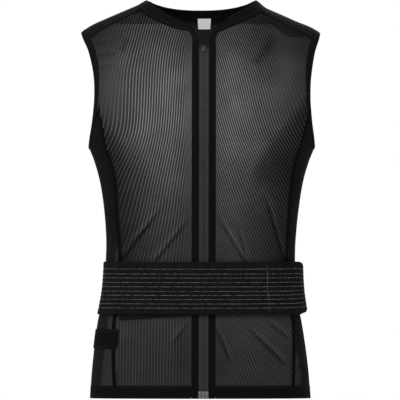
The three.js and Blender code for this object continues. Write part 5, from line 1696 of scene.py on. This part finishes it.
# %% [markdown]
# ## Label and patch
# A plain white label is sewn inside the back of the neck, and a small plain patch lies over the
# right side seam below the belt.

# %% Label and patch
LABEL_WIDTH, LABEL_HEIGHT, LABEL_DROP, LABEL_SHIFT, NECK_WALL = 22.5, 17.8, 29.8, 1.5, 2.4
u, v = even(20), even(20)[:, None]
x = ZIP_SHIFT + LABEL_SHIFT + (u - 0.5) * LABEL_WIDTH * mix(0.92, 1.0, v)
points = over_shoulder(x, way_to(x, -LABEL_DROP - (1 - v) * LABEL_HEIGHT, BACK))
behind = -NECK_WALL / 2 - SEAM_GAP
ripple = 0.15 * np.sin(u * 9) * (1 - v)
label = wall("neck_label", points, behind - 0.55 + ripple, behind + ripple, satin.material)
dress(label, "label", "neck_label")
cloth(label, points, "hung", rests_on=["neck_band"])

PATCH_DROP, PATCH_HEIGHT, PATCH_LAP, PATCH_TURN = 562, 33, 7, 0.38
middle = np.array(-PATCH_DROP - PATCH_HEIGHT / 2)
start = float(seam_angle(middle, RIGHT, FRONT, -PIPING_WIDTH / 2 - PATCH_LAP))
rows = rounded(12)
points = around(mix(start, math.pi + PATCH_TURN, rounded(50)),
                -PATCH_DROP - (1 - rows[:, None]) * PATCH_HEIGHT + 0 * even(50))
rise = 1.5 + mix(0.35, 0.8, crown(rows, 0, 8))[:, None]
patch = wall("side_patch", points, 1.5, rise, patch_cloth.material)
dress(patch, "smooth_cloth", "side_patch")
cloth(patch, points, "laid", rests_on=["side_panel_right"])
patch_points = points

# %% [markdown]
# ## Stitches
# Each seam is topstitched. A stitch is a bead a couple of millimetres long, and the same tree that
# set the coil's teeth sets them along a row of each piece's grid.

# %% Stitch rows


def row_path(points, share, lift, loop=False):
    """A line along the cloth at a share of its height, lifted off its face."""
    raised = points + grid_normals(points, loop) * lift
    rows = (lengths(points, 0) / lengths(points, 0)[-1:]).mean(axis=1)
    path = np.stack([[np.interp(share, rows, raised[:, i, axis]) for axis in range(3)]
                     for i in range(points.shape[1])])
    return np.concatenate([path, path[:1]]) if loop else path


seams = [row_path(hem_points, share, 1.0) for share in (0.12, 0.88)]
seams += [row_path(neck_points, 0.16, 1.15)]
for hand in (RIGHT, LEFT):
    seams += [row_path(yoke_points(hand), share, 0.85) for share in (0.06, 0.94)]
    seams += [row_path(binding_points(hand), 0.84, 1.35, loop=True)]
seams += [row_path(patch_points, share, 2.15) for share in (0.08, 0.92)]
stitches = beads("seam_stitches", seams, dark_thread, pitch=3.0, length=2.2, thickness=0.8)
dress(stitches, "binding")

over_points, over_lift_here, _ = belts["belt_over_wing"]
raised = over_points + grid_normals(over_points) * (over_lift_here + BELT_WALL)[None, :, None]
column = int(np.abs(over_points[45, :, 0] - 112).argmin())
belt_seam_paths = [raised[6:-6, column], raised[5:-5, -8]]
belt_stitches = beads("belt_stitches", belt_seam_paths, belt_thread, pitch=2.4, length=1.8,
                      thickness=0.8)
dress(belt_stitches, "elastic")

# %% [markdown]
# ## Camera, light and floor
# The photograph is taken straight from the front and from far away, so a long lens stands well
# back. The light is soft: a white sky that fills every shadow, and a wide lamp above the front
# that, with the painted light on the mesh, makes the chest brighter than the waist. The vest hangs
# over a plain pale floor.

# %% Camera
PIXEL = 1.71 * MM
VIEW_DISTANCE = 30.0
camera = bpy.data.cameras.new("camera")
camera.sensor_width, camera.clip_end = 36, 500
camera.lens = camera.sensor_width * VIEW_DISTANCE / (400 * PIXEL)
eye = placed("camera", camera)
eye.location = (-1.3 * PIXEL, -VIEW_DISTANCE, -199.5 * PIXEL)
eye.rotation_euler = (math.pi / 2, 0, 0)
bpy.context.scene.camera = eye
bpy.context.scene.view_settings.view_transform = "Standard"
print("lens", round(camera.lens), "mm")

# %% Light and floor
world = bpy.data.worlds.new("studio")
world.use_nodes = True
bpy.context.scene.world = world
tree = world.node_tree
tree.nodes.clear()
ray = add_node(tree, "ShaderNodeLightPath")
seen = add_node(tree, "ShaderNodeMapRange", None,
                {0: ray.outputs["Is Camera Ray"], 3: 0.45, 4: 1.0})
sky = add_node(tree, "ShaderNodeBackground", None, {0: (1, 1, 1, 1), 1: seen.outputs[0]})
out = add_node(tree, "ShaderNodeOutputWorld")
tree.links.new(sky.outputs[0], out.inputs[0])


def lamp(name, place, aim, size, watts):
    light = bpy.data.lights.new(name, "AREA")
    light.shape, light.size, light.size_y, light.energy = "RECTANGLE", size[0], size[1], watts
    made = placed(name, light)
    made.location = place
    x, y, z = np.array(aim) - np.array(place)
    made.rotation_euler = (math.atan2(math.hypot(x, y), -z), 0, math.atan2(-x, y))


lamp("key", (-0.45, -1.4, 0.8), (0, 0, -0.2), (1.6, 1.0), 26)
lamp("back_light", (0.3, 1.6, 0.8), (0, 0, -0.3), (1.6, 1.0), 18)
bpy.ops.mesh.primitive_plane_add(size=6, location=(0, 0, -0.80))
floor = bpy.context.object
floor.name = "floor"
paper = Finish("floor_paper", roughness=0.9, specular=0.1)
paper.tone(paper.noise(3) * 0.02 + 0.85)
floor.data.materials.append(paper.material)
floor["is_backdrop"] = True

# %% [markdown]
# ## Size and finish
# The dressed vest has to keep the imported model's size.

# %% Sizes and check
visual_box = [list(corner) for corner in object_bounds()]
for low_cad, low_new, high_cad, high_new in zip(
        cad_box[0], visual_box[0], cad_box[1], visual_box[1]):
    print("outside by", round(low_cad - low_new, 4), round(high_new - high_cad, 4))
